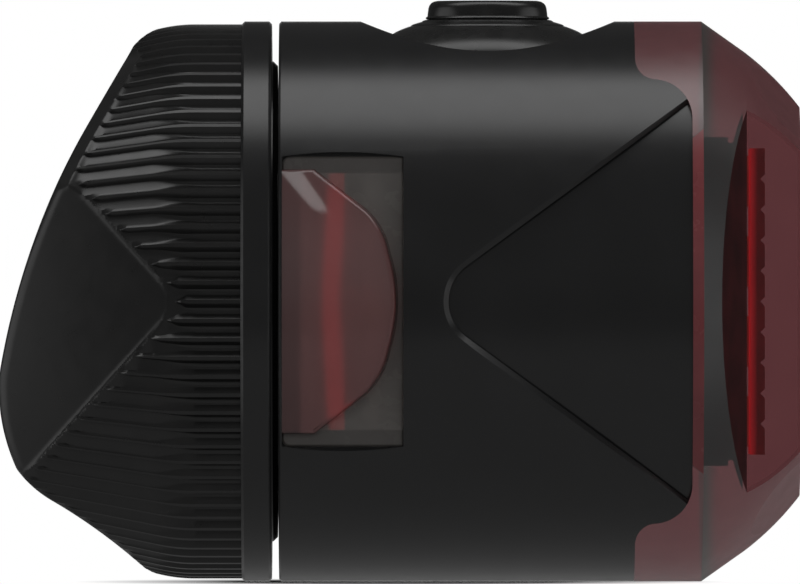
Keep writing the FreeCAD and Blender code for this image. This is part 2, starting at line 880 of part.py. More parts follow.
def make_battery_cell():
    x = lamp_x + battery_rear
    half = battery_half_width
    cell = block(x, x + battery_thick, -half, half, battery_bottom, battery_top)
    return cell.makeFillet(battery_corner, edges_along(cell, vec(1, 0, 0)))


def make_battery_leads():
    x = lamp_x
    exit_x = x + battery_rear + battery_thick / 2
    height = battery_top + lead_radius + lead_gap
    leads = []
    for y in (-battery_lead_y, battery_lead_y):
        start = vec(exit_x, y, battery_top)
        leads.append(lead([start, vec(exit_x, y, height), vec(x + board_front, y, height)]))
    return Part.makeCompound(leads)


def lamp_lead_y():
    return carrier_half_width - carrier_wall - lead_radius - lamp_lead_gap


def make_lamp_leads():
    x = lamp_x
    outer = battery_half_width + lead_radius + lamp_lead_gap
    z = lamp_lead_z
    leads = []
    for side in (-1, 1):
        leads.append(lead([
            vec(x + board_front, side * outer, z),
            vec(x + battery_rear + battery_thick, side * outer, z),
            vec(x + carrier_rear, side * lamp_lead_y(), z),
            vec(x + led_board_rear, side * lamp_lead_y(), z)]))
    return Part.makeCompound(leads)


def make_switch_board():
    x = lamp_x + button_x
    board = block(x - switch_board_half_x, x + switch_board_half_x, -switch_board_half_y, switch_board_half_y,
                  switch_board_bottom, switch_board_top)
    for px, py in pillar_positions():
        board = board.cut(post(small_screw_radius + hole_clearance, 0, far, px, py))
    return board


def make_switch_screws():
    one = screw(small_screw_radius, small_screw_head_radius, small_screw_head_height, small_screw_length)
    return Part.makeCompound([
        placed(one, px, py, switch_board_bottom, vec(0, 0, 1)) for px, py in pillar_positions()])


def make_switch_body():
    x = lamp_x + button_x
    half = switch_size / 2
    body = block(x - half, x + half, -half, half, switch_board_top, switch_top)
    well = post(plunger_radius + plunger_clearance, switch_top - button_travel - plunger_depth, far, x)
    return body.cut(well)


def make_switch_plunger():
    return post(plunger_radius, switch_top - plunger_depth / 2, switch_top + plunger_rise, lamp_x + button_x)


def make_button_cap():
    """Push button: round puck, core and the stem that reaches the switch."""
    stem_bottom = switch_top + plunger_rise
    core_bottom = button_neck_z - button_core_depth
    cap = turned_about_button([
        (0, stem_bottom), (button_stem, stem_bottom), (button_stem, core_bottom), (button_core, core_bottom),
        (button_core, button_neck_z), (button_radius, button_neck_z), (button_radius, button_top),
        (0, button_top)])
    return cap.makeFillet(button_round, circles_at(cap, vec(0, 0, 1), button_top))


def make_button_skirt():
    """Rubber dome between the puck and the opening, with the flange that is clamped below."""
    axis_x = lamp_x + button_x
    flange_z = button_seat_top - skirt_flange
    seat_z = button_seat_top - skirt_clearance / 2
    outer = button_opening - skirt_clearance
    seat = button_seat - skirt_clearance
    neck_z = button_neck_z - skirt_clearance
    neck_inner = button_core + skirt_clearance

    def point(radius, z):
        return vec(axis_x + radius, 0, z)

    def dome(radius, drop):
        return point(radius, barrel_radius - drop)

    foot = dome(outer, skirt_lip_drop)
    crown = dome(dome_middle, dome_middle_drop)
    neck = point(button_neck, neck_z)
    under_neck = point(neck_inner, neck_z - skirt_wall)
    under_foot = point(retainer_inner, barrel_radius - button_seat_drop)
    wire = Part.Wire([
        line(point(retainer_inner, flange_z), point(seat, flange_z)),
        line(point(seat, flange_z), point(seat, seat_z)),
        line(point(seat, seat_z), point(outer, seat_z)), line(point(outer, seat_z), foot),
        line(foot, dome(dome_foot, dome_foot_drop)),
        arc(dome(dome_foot, dome_foot_drop), crown, dome(dome_top, dome_top_drop)),
        line(dome(dome_top, dome_top_drop), neck), line(neck, point(neck_inner, neck_z)),
        line(point(neck_inner, neck_z), under_neck),
        line(under_neck, dome(dome_under_top, dome_under_top_drop)),
        arc(dome(dome_under_top, dome_under_top_drop), dome(dome_under, dome_under_drop),
            dome(dome_under_foot, dome_under_foot_drop)),
        line(dome(dome_under_foot, dome_under_foot_drop), under_foot),
        line(under_foot, point(retainer_inner, flange_z))])
    return Part.Face(wire).revolve(vec(axis_x, 0, 0), vec(0, 0, 1), 360)


def make_button_retainer():
    z1 = button_seat_top - skirt_flange
    x = lamp_x + button_x
    ring = post(button_seat - skirt_clearance, button_boss_bottom, z1, x)
    return ring.cut(post(retainer_inner, 0, far, x))


def lens_outer():
    x = lamp_x
    shoulder = vec(x + lens_shoulder, 0, barrel_radius - lens_shoulder_drop)
    crown = vec(x + lens_shoulder + lens_crown, 0, barrel_radius - lens_crown_drop)
    front = vec(x + lens_length, 0, barrel_radius - lens_front_drop)
    start = vec(x + lens_tongue_start, 0, barrel_radius)
    edge = vec(x + lens_cylinder, 0, barrel_radius)
    wire = Part.Wire([
        line(vec(start.x, 0, 0), start), line(start, edge), line(edge, shoulder), arc(shoulder, crown, front),
        line(front, vec(front.x, 0, 0)), line(vec(front.x, 0, 0), vec(start.x, 0, 0))])
    return Part.Face(wire).revolve(vec(0, 0, 0), vec(1, 0, 0), 360)


def side_notch():
    """Side notch of the lens on the near side: a steep rear wall and a flat facet in front."""
    x = lamp_x
    notch_outer_y = barrel_radius - notch_outer_drop
    notch_front_y = barrel_radius - notch_front_drop
    outer_reach = (far - notch_inner_y) / (notch_outer_y - notch_inner_y)
    steep_x = x + lens_shoulder - notch_outer_back * outer_reach
    front_slope = (notch_inner_y - notch_front_y) / (lens_length - lens_shoulder)
    corners = [
        vec(x + lens_shoulder, -notch_inner_y, -far), vec(steep_x, -far, -far),
        vec(x + lens_length + past, -far, -far),
        vec(x + lens_length + past, front_slope * past - notch_front_y, -far)]
    return Part.Face(Part.makePolygon(corners + corners[:1])).extrude(vec(0, 0, 2 * far))


def crown_facets():
    """Four flat facets on the crown, beside its top and bottom."""
    x = lamp_x
    slope = (facet_front_drop - facet_start_drop) / facet_back
    rear_x = x + lens_length - 2 * facet_back
    front_x = x + lens_length + facet_back
    facet_front_z = barrel_radius - facet_front_drop
    corners = [
        vec(rear_x, -far, facet_front_z + slope * (x + lens_length - rear_x)),
        vec(front_x, -far, facet_front_z - slope * (front_x - x - lens_length)),
        vec(front_x, -far, far), vec(rear_x, -far, far)]
    cutter = Part.Face(Part.makePolygon(corners + corners[:1])).extrude(vec(0, 2 * far, 0))
    copies = []
    for angle in (facet_swing, -facet_swing, 180 + facet_swing, 180 - facet_swing):
        copy = cutter.copy()
        copy.rotate(vec(0, 0, 0), vec(1, 0, 0), angle)
        copies.append(copy)
    return copies


def make_front_lens():
    x = lamp_x
    lens = lens_outer()
    behind = split_prism().cut(rod(inner_radius - lens_joint, -far, 3 * far))
    lens = lens.cut(behind)
    lens = lens.cut(both_sides(side_notch()))
    lens = lens.cut(crown_facets())
    lens = lens.cut(rod(lens_tongue_inner, x, x + lens_cylinder + lens_deep_margin))
    lens = lens.cut(block(x, x + lens_length - lens_wall, -cavity_half_width, cavity_half_width,
                          -cavity_half_height, cavity_half_height))
    button_notch = post(button_boss + lens_joint, 0, far, x + button_x)
    return lens.cut(button_notch.common(rod(inner_radius, x, x + lens_length))).removeSplitter()


def make_lens_seal():
    """Flat gasket in front of the light carrier's flange, on each side of its snout."""
    x0 = lamp_x + carrier_rear + carrier_flange
    x1 = x0 + lens_seal_section
    ring = tube(carrier_flange_radius, carrier_flange_radius - lens_seal_width, x0, x1)
    heads = [rod(carrier_head_radius + hole_clearance, x0, x1, y) for y in (-side_boss_y, side_boss_y)]
    snout = block(x0, x1, -carrier_half_width, carrier_half_width, -carrier_half_height, carrier_half_height)
    ring = ring.common(block(0, 3 * far, -far, far, -carrier_flat, carrier_flat))
    return ring.cut(heads + [snout])


def make_led_carrier():
    x = lamp_x
    flange = rod(carrier_flange_radius, x + carrier_rear, x + carrier_rear + carrier_flange)
    flange = flange.common(block(0, 3 * far, -far, far, -carrier_flat, carrier_flat))
    snout = block(x + carrier_rear, x + carrier_front, -carrier_half_width, carrier_half_width,
                  -carrier_half_height, carrier_half_height)
    inner_w = carrier_half_width - carrier_wall
    inner_h = carrier_half_height - carrier_wall
    hollow = block(x, x + carrier_front - carrier_wall, -inner_w, inner_w, -inner_h, inner_h)
    carrier = flange.fuse(snout).cut(hollow)
    for y in (-lamp_lead_y(), lamp_lead_y()):
        carrier = carrier.cut(rod(lead_radius + hole_clearance, x, x + far, y, lamp_lead_z))
    for y in (-side_boss_y, side_boss_y):
        carrier = carrier.cut(rod(screw_radius + hole_clearance, x, x + carrier_front, y))
    return carrier.removeSplitter()


def make_carrier_screws():
    one = screw(screw_radius, carrier_head_radius, screw_head_height, screw_length)
    x = lamp_x + carrier_rear + carrier_flange
    return Part.makeCompound([placed(one, x, y, 0, vec(-1, 0, 0)) for y in (-side_boss_y, side_boss_y)])


def make_led_board():
    x = lamp_x
    half_w = carrier_half_width - led_board_margin
    half_h = led_board_half_height
    return block(x + led_board_rear, x + led_rear, -half_w, half_w, -half_h, half_h)


def make_leds():
    x = lamp_x + led_rear
    half = led_size / 2
    chips = []
    for index in range(led_count):
        z = (index - (led_count - 1) / 2) * led_pitch
        chips.append(block(x, x + led_thick, -half, half, z - half, z + half))
    return Part.makeCompound(chips)


def make_light_optic():
    """Ridged strip that spreads the light in front of the row of LEDs."""
    x0 = lamp_x + optic_rear
    x1 = x0 + optic_thick
    half_w = carrier_half_width - optic_side_margin
    half_h = carrier_half_height - optic_end_margin
    strip = block(x0, x1, -half_w, half_w, -half_h, half_h)
    pitch = 2 * half_h / (optic_ridges + 1)
    reach = optic_thick
    for index in range(optic_ridges):
        z = pitch * (index + 1) - half_h
        corners = [vec(x1 - optic_ridge_depth, -far, z), vec(x1 + reach, -far, z + reach + optic_ridge_depth),
                   vec(x1 + reach, -far, z - reach - optic_ridge_depth)]
        groove = Part.Face(Part.makePolygon(corners + corners[:1])).extrude(vec(0, 2 * far, 0))
        strip = strip.cut(groove)
    return strip


def make_side_light_bar():
    """Red light bar behind the near window, with a foot that reaches its LED."""
    x = lamp_x
    inner = bar_outer - bar_thick
    half = window_half_height - bar_end_margin
    bar = block(x + bar_start, x + bar_start + bar_width, -bar_outer, -inner, -half, half)
    foot = block(x + bar_start, x + board_rear - side_led_thick - bar_clearance, -bar_outer, -inner,
                 -side_led_size / 2, side_led_size / 2)
    return bar.fuse(foot).removeSplitter()


def make_side_leds():
    x = lamp_x + board_rear
    half = side_led_size / 2
    inner = main_board_half_width - side_led_size
    near = block(x - side_led_thick, x, -main_board_half_width, -inner, -half, half)
    return Part.makeCompound([near, mirrored(near)])


side_window = make_side_window()
side_light_bar = make_side_light_bar()

nodes = {
    "saddle_pad": make_saddle_pad(),
    "base_plate": make_base_plate(),
    "spigot_seal": make_spigot_seal(),
    "housing": make_housing(),
    "front_lens": make_front_lens(),
    "lens_seal": make_lens_seal(),
    "led_carrier": make_led_carrier(),
    "carrier_screws": make_carrier_screws(),
    "led_board": make_led_board(),
    "leds": make_leds(),
    "light_optic": make_light_optic(),
    "side_window_near": side_window,
    "side_window_far": mirrored(side_window),
    "side_light_bar_near": side_light_bar,
    "side_light_bar_far": mirrored(side_light_bar),
    "side_leds": make_side_leds(),
    "rear_cover": make_rear_cover(),
    "cover_gasket": make_cover_gasket(),
    "cover_screws": make_cover_screws(),
    "main_board": make_main_board(),
    "usb_socket": make_usb_socket(),
    "board_chips": make_board_chips(),
    "battery_pad": make_battery_pad(),
    "battery_cell": make_battery_cell(),
    "battery_leads": make_battery_leads(),
    "lamp_leads": make_lamp_leads(),
    "switch_board": make_switch_board(),
    "switch_screws": make_switch_screws(),
    "switch_body": make_switch_body(),
    "switch_plunger": make_switch_plunger(),
    "button_cap": make_button_cap(),
    "button_skirt": make_button_skirt(),
    "button_retainer": make_button_retainer(),
}

os.makedirs("parts", exist_ok=True)
for name, shape in nodes.items():
    shape.exportStep("parts/" + name + ".step")
    print(name, "solids", len(shape.Solids), "valid", shape.isValid(), "volume", round(shape.Volume, 2))
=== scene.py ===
import json
import math

import bmesh
import bpy
import numpy as np
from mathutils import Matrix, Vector


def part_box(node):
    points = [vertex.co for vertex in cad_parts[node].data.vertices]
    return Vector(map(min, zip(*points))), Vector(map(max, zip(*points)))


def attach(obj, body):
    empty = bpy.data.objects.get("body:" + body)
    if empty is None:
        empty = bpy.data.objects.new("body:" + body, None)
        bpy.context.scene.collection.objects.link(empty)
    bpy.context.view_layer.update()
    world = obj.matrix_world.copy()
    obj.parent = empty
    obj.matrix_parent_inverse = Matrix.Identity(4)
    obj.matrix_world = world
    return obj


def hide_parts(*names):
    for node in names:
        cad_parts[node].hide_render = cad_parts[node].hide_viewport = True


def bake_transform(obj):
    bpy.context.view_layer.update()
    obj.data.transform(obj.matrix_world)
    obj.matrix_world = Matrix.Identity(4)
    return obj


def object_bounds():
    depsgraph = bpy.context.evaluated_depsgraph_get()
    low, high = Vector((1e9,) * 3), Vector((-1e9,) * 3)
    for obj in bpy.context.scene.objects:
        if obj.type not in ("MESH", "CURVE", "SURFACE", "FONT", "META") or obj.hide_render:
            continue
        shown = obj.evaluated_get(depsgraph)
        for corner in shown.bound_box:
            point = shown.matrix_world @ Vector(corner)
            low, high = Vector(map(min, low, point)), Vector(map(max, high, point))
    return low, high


# Looks of a round bicycle rear light. Metres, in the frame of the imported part.

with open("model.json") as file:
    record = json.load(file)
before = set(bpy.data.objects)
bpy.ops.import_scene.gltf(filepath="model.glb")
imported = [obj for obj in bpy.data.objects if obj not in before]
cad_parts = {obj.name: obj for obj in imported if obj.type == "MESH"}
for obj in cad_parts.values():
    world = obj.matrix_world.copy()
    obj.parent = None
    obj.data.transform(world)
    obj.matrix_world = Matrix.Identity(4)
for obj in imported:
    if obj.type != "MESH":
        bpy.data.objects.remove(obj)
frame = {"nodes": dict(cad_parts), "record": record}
cad_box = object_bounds()
nodes = frame["nodes"]
mm = 0.001

# Camera: a long lens level with the lamp, looking along +Y
view_width = 44.0 * mm
view_centre = Vector((17.39 * mm, 0.0, 0.52 * mm))
lens_mm = 1200.0
sensor_mm = 36.0
camera_clip = (0.1, 10.0)

# Light levels, as radiance where 1 is white
softbox_radiance = 2.1
room_dim = 0.12
room_floor = 0.27
room_back = 0.05
side_card = 0.9
backdrop_white = 1.0

# Where the room's parts fade in, by direction: its dark back and its bright floor, the cards at both ends, and the
# white card behind the lamp
room_back_fade = (-0.2, 0.3)
room_floor_fade = (-0.3, -0.1)
side_card_edge = (0.86, 0.96)
back_card_edge = (0.985, 0.995)

# Large soft light in front: place, side length in metres, and watts per square metre
fill_place = (view_centre.x, -1.0, 0.25)
fill_size = 0.8
fill_power = 7.6

# Floor: half size and depth below the part in metres, its shade for the lamp's light and for the camera, and how
# far from the middle it runs out into white
floor_half = 0.5
floor_drop = 0.02 * mm
floor_shade = 0.25
floor_white = 0.86
floor_fade = (9.0 * mm, 18.0 * mm)

# The overhead softbox in the world: angles above the horizon in front between which it fades in and out, and how
# far it runs along the lamp
softbox_start = 68.0
softbox_full = 81.0
softbox_fade = 101.0
softbox_end = 112.0
softbox_reach = (0.62, 0.77)

# Rubber pad in millimetres, as its solid has it: lengths run back from the ring. A fade is the pair of places
# between which one form passes into another. The socket is the radius of its core and of its lip, then how far back
# the lip and the floor lie.
pad_bend_start = 2.6
pad_bend_end = 4.5
pad_slope = math.tan(math.radians(13.3))
pad_length = 13.6
pad_socket = (11.5, 12.2, 1.85, 2.45)
pad_sharp = 24.0

# Hollow for the seat post. It runs out below the pad's top, which keeps its outline.
post_radius = 13.6
post_lean = math.radians(17.0)
post_ease = 1.7
post_ease_fade = (10.2, 13.4)

# Flutes: crests and walls are shares of the pitch, and pairs of sizes are those at the ring and on the cone
flute_count = 92
flute_depths = (0.32, 0.14)
flute_crests = (0.10, 0.055)
flute_wall = 0.24
flute_change = (2.9, 5.0)
flute_hollows = (0.045, 0.015)
flute_tilt = 0.07
flute_tilt_fade = (2.0, 4.5)
flute_shoulder = (0.1, 0.92)

# Ends of the flutes: distance from the rear in the upper and the lower half, lengths over which they rise and
# widen, and the share of their width at the tip. At the top and the bottom they run through to the rear.
flute_margins = (0.6, 0.12)
flute_rise = 0.2
flute_taper = 0.5
flute_tip = 0.25
lower_fade = (5.0, 8.5)
through_fade = (13.6, 14.7)
through_reach = 2.0

# V on each side: where its edge runs in the side view, then the flat facet inside it and the facet's rear rim
vee_apex = 3.1
vee_half_angle = math.radians(47.9)
vee_rounding = 1.3
vee_inset = 0.12
vee_wall_slope = 0.8
facet_front_slope = 0.41
facet_bend = 0.0125
facet_belly = 0.019
facet_belly_start = 0.5
facet_rounding = 0.25
facet_rim = 0.32
facet_rim_slopes = (0.5, 1.1)
facet_rim_heights = (1.5, 6.0)
facet_rim_rounding = 0.16

# Bevel between the flutes' ends and the slanted rear, which stops at the top and in the lower half. Ahead of the
# bend it takes no part, so every point there counts as well inside it.
rim_band = 0.62
rim_band_slope = 0.78
rim_band_rounding = 0.1
rim_band_room = 0.5
rim_band_fade = (0.52, 0.97)
crown_fade = (13.3, 14.5)
well_inside = -1.0
rear_rounding = 0.05
edge_rounding = 0.16

# The pad's mesh: points round one flute, rows along it, rings over its rear, which lie denser beyond rim_share of the
# radius, and how finely the rays from its front look for the cut faces. Nothing ahead of uncut_length is cut.
ridge_points = 7
groove_points = 6
front_rows = 12
cone_row_start = 2.72
cone_rows = 104
rim_share = 0.72
rim_rings = 30
inner_rings = 20
ray_steps = 24
ray_halvings = 20
uncut_length = 1.5
axis_samples = 4000

# Side view of the pad's rear from the top down: lines and arcs through points (back, height)
rear_line = [
    ("arc", (3.3, 15.24), (4.85, 14.9), (5.94, 14.0)),
    ("line", (5.94, 14.0), (8.58, 9.32)),
    ("arc", (8.58, 9.32), (11.22, 3.55), (13.23, -4.1)),
    ("arc", (13.23, -4.1), (13.05, -6.74), (12.27, -9.16)),
    ("arc", (12.27, -9.16), (11.44, -10.09), (10.26, -10.95)),
    ("arc", (10.26, -10.95), (8.05, -12.4), (5.34, -14.63)),
    ("arc", (5.34, -14.63), (4.57, -15.03), (3.3, -15.24)),
]
rear_line_samples = 600

# How far the flutes' limit moves forward per millimetre of height above the slant and below the sole
rear_run_slopes = (0.564, 1.3)

# Button in millimetres: outlines of the puck's stem and head and of the rubber dome, as (radius, height). The stem's
# heights count from its foot.
button_axis = 22.2
stem_clearance = 0.03
stem_outline = [(1.55, 0.0), (1.6, 0.05)]
puck_head = [(1.6, 14.6), (2.88, 14.6), (2.88, 15.5), (3.3, 15.5), (3.38, 15.53), (3.4, 15.58), (3.37, 15.63),
             (3.3, 15.68), (3.285, 15.85), (3.25, 16.12), (3.2, 16.27), (3.1, 16.4), (2.95, 16.49), (2.75, 16.53)]
dome_outline = [(6.2, 12.05), (7.4, 12.05), (7.45, 12.1), (7.45, 12.62), (7.4, 12.67), (6.95, 12.675), (6.95, 13.05),
                (6.75, 13.3), (6.6, 13.62), (6.45, 13.85), (6.2, 14.1), (5.92, 14.33), (5.6, 14.52), (5.26, 14.69),
                (4.98, 14.85), (4.68, 14.98), (4.36, 15.1), (4.22, 15.14), (4.17, 15.2), (4.1, 15.235), (3.9, 15.3),
                (3.62, 15.38), (3.56, 15.43), (3.5, 15.46), (3.4, 15.485), (2.97, 15.49), (2.95, 15.47),
                (2.95, 14.75), (4.3, 14.3), (4.75, 14.1), (5.1, 13.85), (5.9, 13.2), (6.2, 12.7)]
turned_segments = 128
turned_sharp = 28.0

# Front lens in millimetres: half width, half height and front wall of its hollow, then the bore behind that
lens_hollow = (6.8, 9.4, 1.8)
lens_bore = 13.2
lens_bore_end = 34.15

# Where the lens changes its finish or its painted shade, in millimetres along X: end of the notches' walls, start of
# their flats, the rear edge (start, end and half height), and the sloping shoulder with the fade of its painted grey
# shade
notch_end = 37.2
notch_flat_start = 36.7
lens_edge = (33.2, 34.1, 9.2)
slope_start = 33.9
slope_end = 37.0
shoulder_fade = (34.0, 35.0)
face_slack = 0.02

# Limits on the normals of those faces: X of the notches' walls and of the slope, largest Z of a wall, least Y of a
# flat, and largest X of the rear edge
notch_normal = (0.8, 0.999)
slope_normal = (0.45, 0.65)
level_normal = 0.02
side_normal = 0.8
edge_normal = 0.1

# Finishes of the lens, in the order in which make_lenses adds them. The notch walls' near-black and the shoulder's
# grey are painted shade, and the rear edge's brighter red is painted light.
lens_outside, lens_inside, notch_wall, rear_edge, shoulder, notch_flat = range(6)

# Side window in millimetres: how far out its pane lies, then the slanting glint on its raised part as the X and Z of
# its middle and of the direction across it, its width from full to nothing, and the heights over which it comes in
pane_face = 13.0
pane_slack = 0.03
boss_glint = (11.9, 6.5, 0.789, 0.614)
glint_width = (0.1, 0.75)
glint_heights = (4.0, 5.4)
glint_lean = 0.55

# Glow of the red light guides along X in millimetres: rise from and to, then fall from and to. The rear glow moves
# forward by guide_bend for each millimetre above or below the middle.
guide_front = (34.0, 35.0, 36.4, 37.0)
guide_front_glow = 0.9
guide_rear = (12.95, 13.15, 13.95, 14.2)
guide_rear_glow = 0.55
guide_bend = 0.07

# Rounding of rubber and foam: its radius and the distance at which points merge in millimetres, then the angles in
# degrees up to which flats merge, from which edges are rounded and from which the shading stays sharp
soft_round = 0.06
soft_merge = 0.0005
soft_flat = 1.0
soft_edge = 40.0
soft_sharp = 32.0

# The part of the noise's range that the finishes spread over their two values
noise_band = (0.3, 0.7)

# Places read from the frame
pad_low, pad_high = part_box("saddle_pad")
pad_radius = (pad_high.z - pad_low.z) / 2 / mm
pad_front = pad_high.x / mm
stem_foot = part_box("button_cap")[0].z / mm
lens_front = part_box("front_lens")[1].x / mm
floor_z = cad_box[0].z - floor_drop


def link(tree, source, target):
    tree.links.new(source, target)


def node(tree, kind, **settings):
    made = tree.nodes.new(kind)
    for name, value in settings.items():
        setattr(made, name, value)
    return made


def material(name, color, roughness, **inputs):
    """A material whose Principled shader holds its constants on its own sockets."""
    made = bpy.data.materials.new(name)
    made.use_nodes = True
    shader = made.node_tree.nodes["Principled BSDF"]
    shader.inputs["Base Color"].default_value = (*color, 1.0)
    shader.inputs["Roughness"].default_value = roughness
    for label, value in inputs.items():
        shader.inputs[label.replace("_", " ")].default_value = value
    return made


def axes(tree, kind="Object"):
    """X, Y and Z of the place in the object or, with "Generated" in a world, of the direction."""
    place = node(tree, "ShaderNodeTexCoord")
    split = node(tree, "ShaderNodeSeparateXYZ")
    link(tree, place.outputs[kind], split.inputs["Vector"])
    return split.outputs


def noise(tree, scale, detail=3.0, stretch=(1.0, 1.0, 1.0)):
    """Noise in the object's own coordinates, with a scale in features per millimetre."""
    place = node(tree, "ShaderNodeTexCoord")
    sizing = node(tree, "ShaderNodeMapping")
    sizing.inputs["Scale"].default_value = tuple(scale / mm * s for s in stretch)
    texture = node(tree, "ShaderNodeTexNoise")
    texture.inputs["Scale"].default_value = 1.0
    texture.inputs["Detail"].default_value = detail
    link(tree, place.outputs["Object"], sizing.inputs["Vector"])
    link(tree, sizing.outputs["Vector"], texture.inputs["Vector"])
    return texture.outputs["Fac"]


def ramp(tree, source, low, high, low_value, high_value, soft=False):
    """A value that runs from one level to another while the source runs from low to high."""
    spread = node(tree, "ShaderNodeMapRange", interpolation_type="SMOOTHSTEP" if soft else "LINEAR")
    for label, value in (("From Min", low), ("From Max", high), ("To Min", low_value), ("To Max", high_value)):
        spread.inputs[label].default_value = value
    link(tree, source, spread.inputs["Value"])
    return spread.outputs["Result"]


def times(tree, first, second):
    product = node(tree, "ShaderNodeMath", operation="MULTIPLY")
    link(tree, first, product.inputs[0])
    link(tree, second, product.inputs[1])
    return product.outputs[0]


def largest(tree, value, *others):
    for other in others:
        either = node(tree, "ShaderNodeMath", operation="MAXIMUM")
        link(tree, value, either.inputs[0])
        link(tree, other, either.inputs[1])
        value = either.outputs[0]
    return value


def absolute(tree, source):
    size = node(tree, "ShaderNodeMath", operation="ABSOLUTE")
    link(tree, source, size.inputs[0])
    return size.outputs[0]


def mottle(made, dark, light, scale):
    """Slow colour variation between two shades."""
    tree = made.node_tree
    mix = node(tree, "ShaderNodeMix", data_type="RGBA")
    mix.inputs["A"].default_value = (*dark, 1.0)
    mix.inputs["B"].default_value = (*light, 1.0)
    link(tree, ramp(tree, noise(tree, scale), *noise_band, 0.0, 1.0), mix.inputs["Factor"])
    link(tree, mix.outputs["Result"], tree.nodes["Principled BSDF"].inputs["Base Color"])


def polish(made, low, high, scale, layer="Roughness"):
    """Roughness of the base or the coat that wanders between two values."""
    tree = made.node_tree
    link(tree, ramp(tree, noise(tree, scale), *noise_band, low, high), tree.nodes["Principled BSDF"].inputs[layer])


def coat_wander(made, low, high, scale):
    polish(made, low, high, scale, "Coat Roughness")


def grain(made, scale, height, detail=4.0, stretch=(1.0, 1.0, 1.0)):
    """Surface grain whose height is in millimetres."""
    tree = made.node_tree
    bump = node(tree, "ShaderNodeBump")
    bump.inputs["Strength"].default_value = 1.0
    bump.inputs["Distance"].default_value = height * mm
    link(tree, noise(tree, scale, detail, stretch), bump.inputs["Height"])
    link(tree, bump.outputs["Normal"], tree.nodes["Principled BSDF"].inputs["Normal"])


def moulded_black():
    made = material("moulded_black", (0.009, 0.009, 0.0093), 0.25)
    mottle(made, (0.0083, 0.0083, 0.0086), (0.0105, 0.0105, 0.0108), 0.25)
    polish(made, 0.235, 0.265, 0.8)
    grain(made, 9.0, 0.0012)
    return made


def inner_black():
    made = material("inner_black", (0.008, 0.008, 0.009), 0.45)
    mottle(made, (0.007, 0.007, 0.008), (0.011, 0.010, 0.011), 0.4)
    grain(made, 6.0, 0.002)
    return made


def grip_rubber():
    made = material("grip_rubber", (0.009, 0.009, 0.009), 0.30)
    mottle(made, (0.008, 0.008, 0.008), (0.011, 0.0108, 0.0106), 0.5)
    polish(made, 0.27, 0.33, 1.1)
    grain(made, 7.0, 0.0012)
    return made


def button_rubber():
    made = material("button_rubber", (0.008, 0.008, 0.008), 0.28)
    mottle(made, (0.007, 0.007, 0.007), (0.010, 0.010, 0.0097), 0.6)
    polish(made, 0.25, 0.31, 1.2)
    grain(made, 8.0, 0.001)
    return made


def seal_rubber():
    made = material("seal_rubber", (0.015, 0.015, 0.016), 0.6)
    mottle(made, (0.012, 0.012, 0.013), (0.020, 0.019, 0.019), 0.7)
    grain(made, 6.0, 0.003)
    return made


def smoked_red():
    """Tinted skin over clear plastic: it doesn't bend what is seen through it, and shines like a thin coat."""
    made = material("smoked_red", (0.09, 0.027, 0.03), 0.0, Transmission_Weight=1.0, IOR=1.0,
                    Coat_Weight=1.0, Coat_Roughness=0.34, Coat_IOR=1.75)
    mottle(made, (0.085, 0.025, 0.028), (0.095, 0.029, 0.032), 0.3)
    coat_wander(made, 0.31, 0.37, 0.7)
    return made


def shoulder_painted_shade():
    """The same smoke where it starts to slope, with painted grey shade along the edge that stands in for the wall
    behind, seen end on.
    """
    made = smoked_red()
    made.name = "shoulder_painted_shade"
    tree = made.node_tree
    shader = tree.nodes["Principled BSDF"]
    red = shader.inputs["Base Color"].links[0].from_socket
    # Painted shade: the smoke turns grey towards the lens's rear edge.
    mix = node(tree, "ShaderNodeMix", data_type="RGBA")
    mix.inputs["A"].default_value = (0.034, 0.032, 0.030, 1.0)
    link(tree, red, mix.inputs["B"])
    start, end = shoulder_fade
    link(tree, ramp(tree, axes(tree)["X"], start * mm, end * mm, 0.0, 1.0, True), mix.inputs["Factor"])
    link(tree, mix.outputs["Result"], shader.inputs["Base Color"])
    return made


def smoked_flat():
    """The same smoke on the flats of the side notches, which mirror little of the room."""
    made = smoked_red()
    made.name = "smoked_flat"
    made.node_tree.nodes["Principled BSDF"].inputs["Coat IOR"].default_value = 1.25
    return made


def clear_inside():
    made = material("clear_inside", (1.0, 1.0, 1.0), 0.0, Transmission_Weight=1.0, IOR=1.0)
    mottle(made, (0.97, 0.97, 0.97), (1.0, 1.0, 1.0), 0.3)
    return made


def painted_shade_wall():
    """Wall of a lens notch, painted near-black as shade: seen so flat from the side, the clear wall only mirrors the
    dark inside.
    """
    made = material("painted_shade_wall", (0.012, 0.004, 0.004), 0.3, IOR=1.08)
    # The lighter red of this mottle is painted red glints.
    mottle(made, (0.018, 0.007, 0.007), (0.050, 0.012, 0.013), 0.5)
    return made


def lit_edge():
    """Rear edge of the lens beside the barrel, where light that runs in the plastic comes out."""
    made = material("lit_edge", (0.22, 0.05, 0.055), 0.3, Transmission_Weight=0.35, IOR=1.1,
                    Coat_Weight=1.0, Coat_Roughness=0.26, Coat_IOR=1.5)
    mottle(made, (0.18, 0.04, 0.045), (0.26, 0.055, 0.06), 0.4)
    coat_wander(made, 0.23, 0.29, 0.7)
    return made


def smoked_pane():
    made = material("smoked_pane", (0.20, 0.185, 0.175), 0.35, Transmission_Weight=0.7, IOR=1.1,
                    Coat_Weight=1.0, Coat_Roughness=0.26, Coat_IOR=1.5)
    mottle(made, (0.185, 0.17, 0.16), (0.215, 0.20, 0.19), 0.3)
    coat_wander(made, 0.23, 0.29, 0.9)
    return made


def ruby_boss():
    """Red smoke of the raised part of a side window."""
    made = material("ruby_boss", (0.30, 0.12, 0.12), 0.50, Transmission_Weight=0.8, IOR=1.3,
                    Coat_Weight=1.0, Coat_Roughness=0.2, Coat_IOR=1.5)
    mottle(made, (0.28, 0.11, 0.11), (0.32, 0.13, 0.13), 0.3)
    coat_wander(made, 0.17, 0.23, 0.9)
    lean_upper_corner(made)
    return made


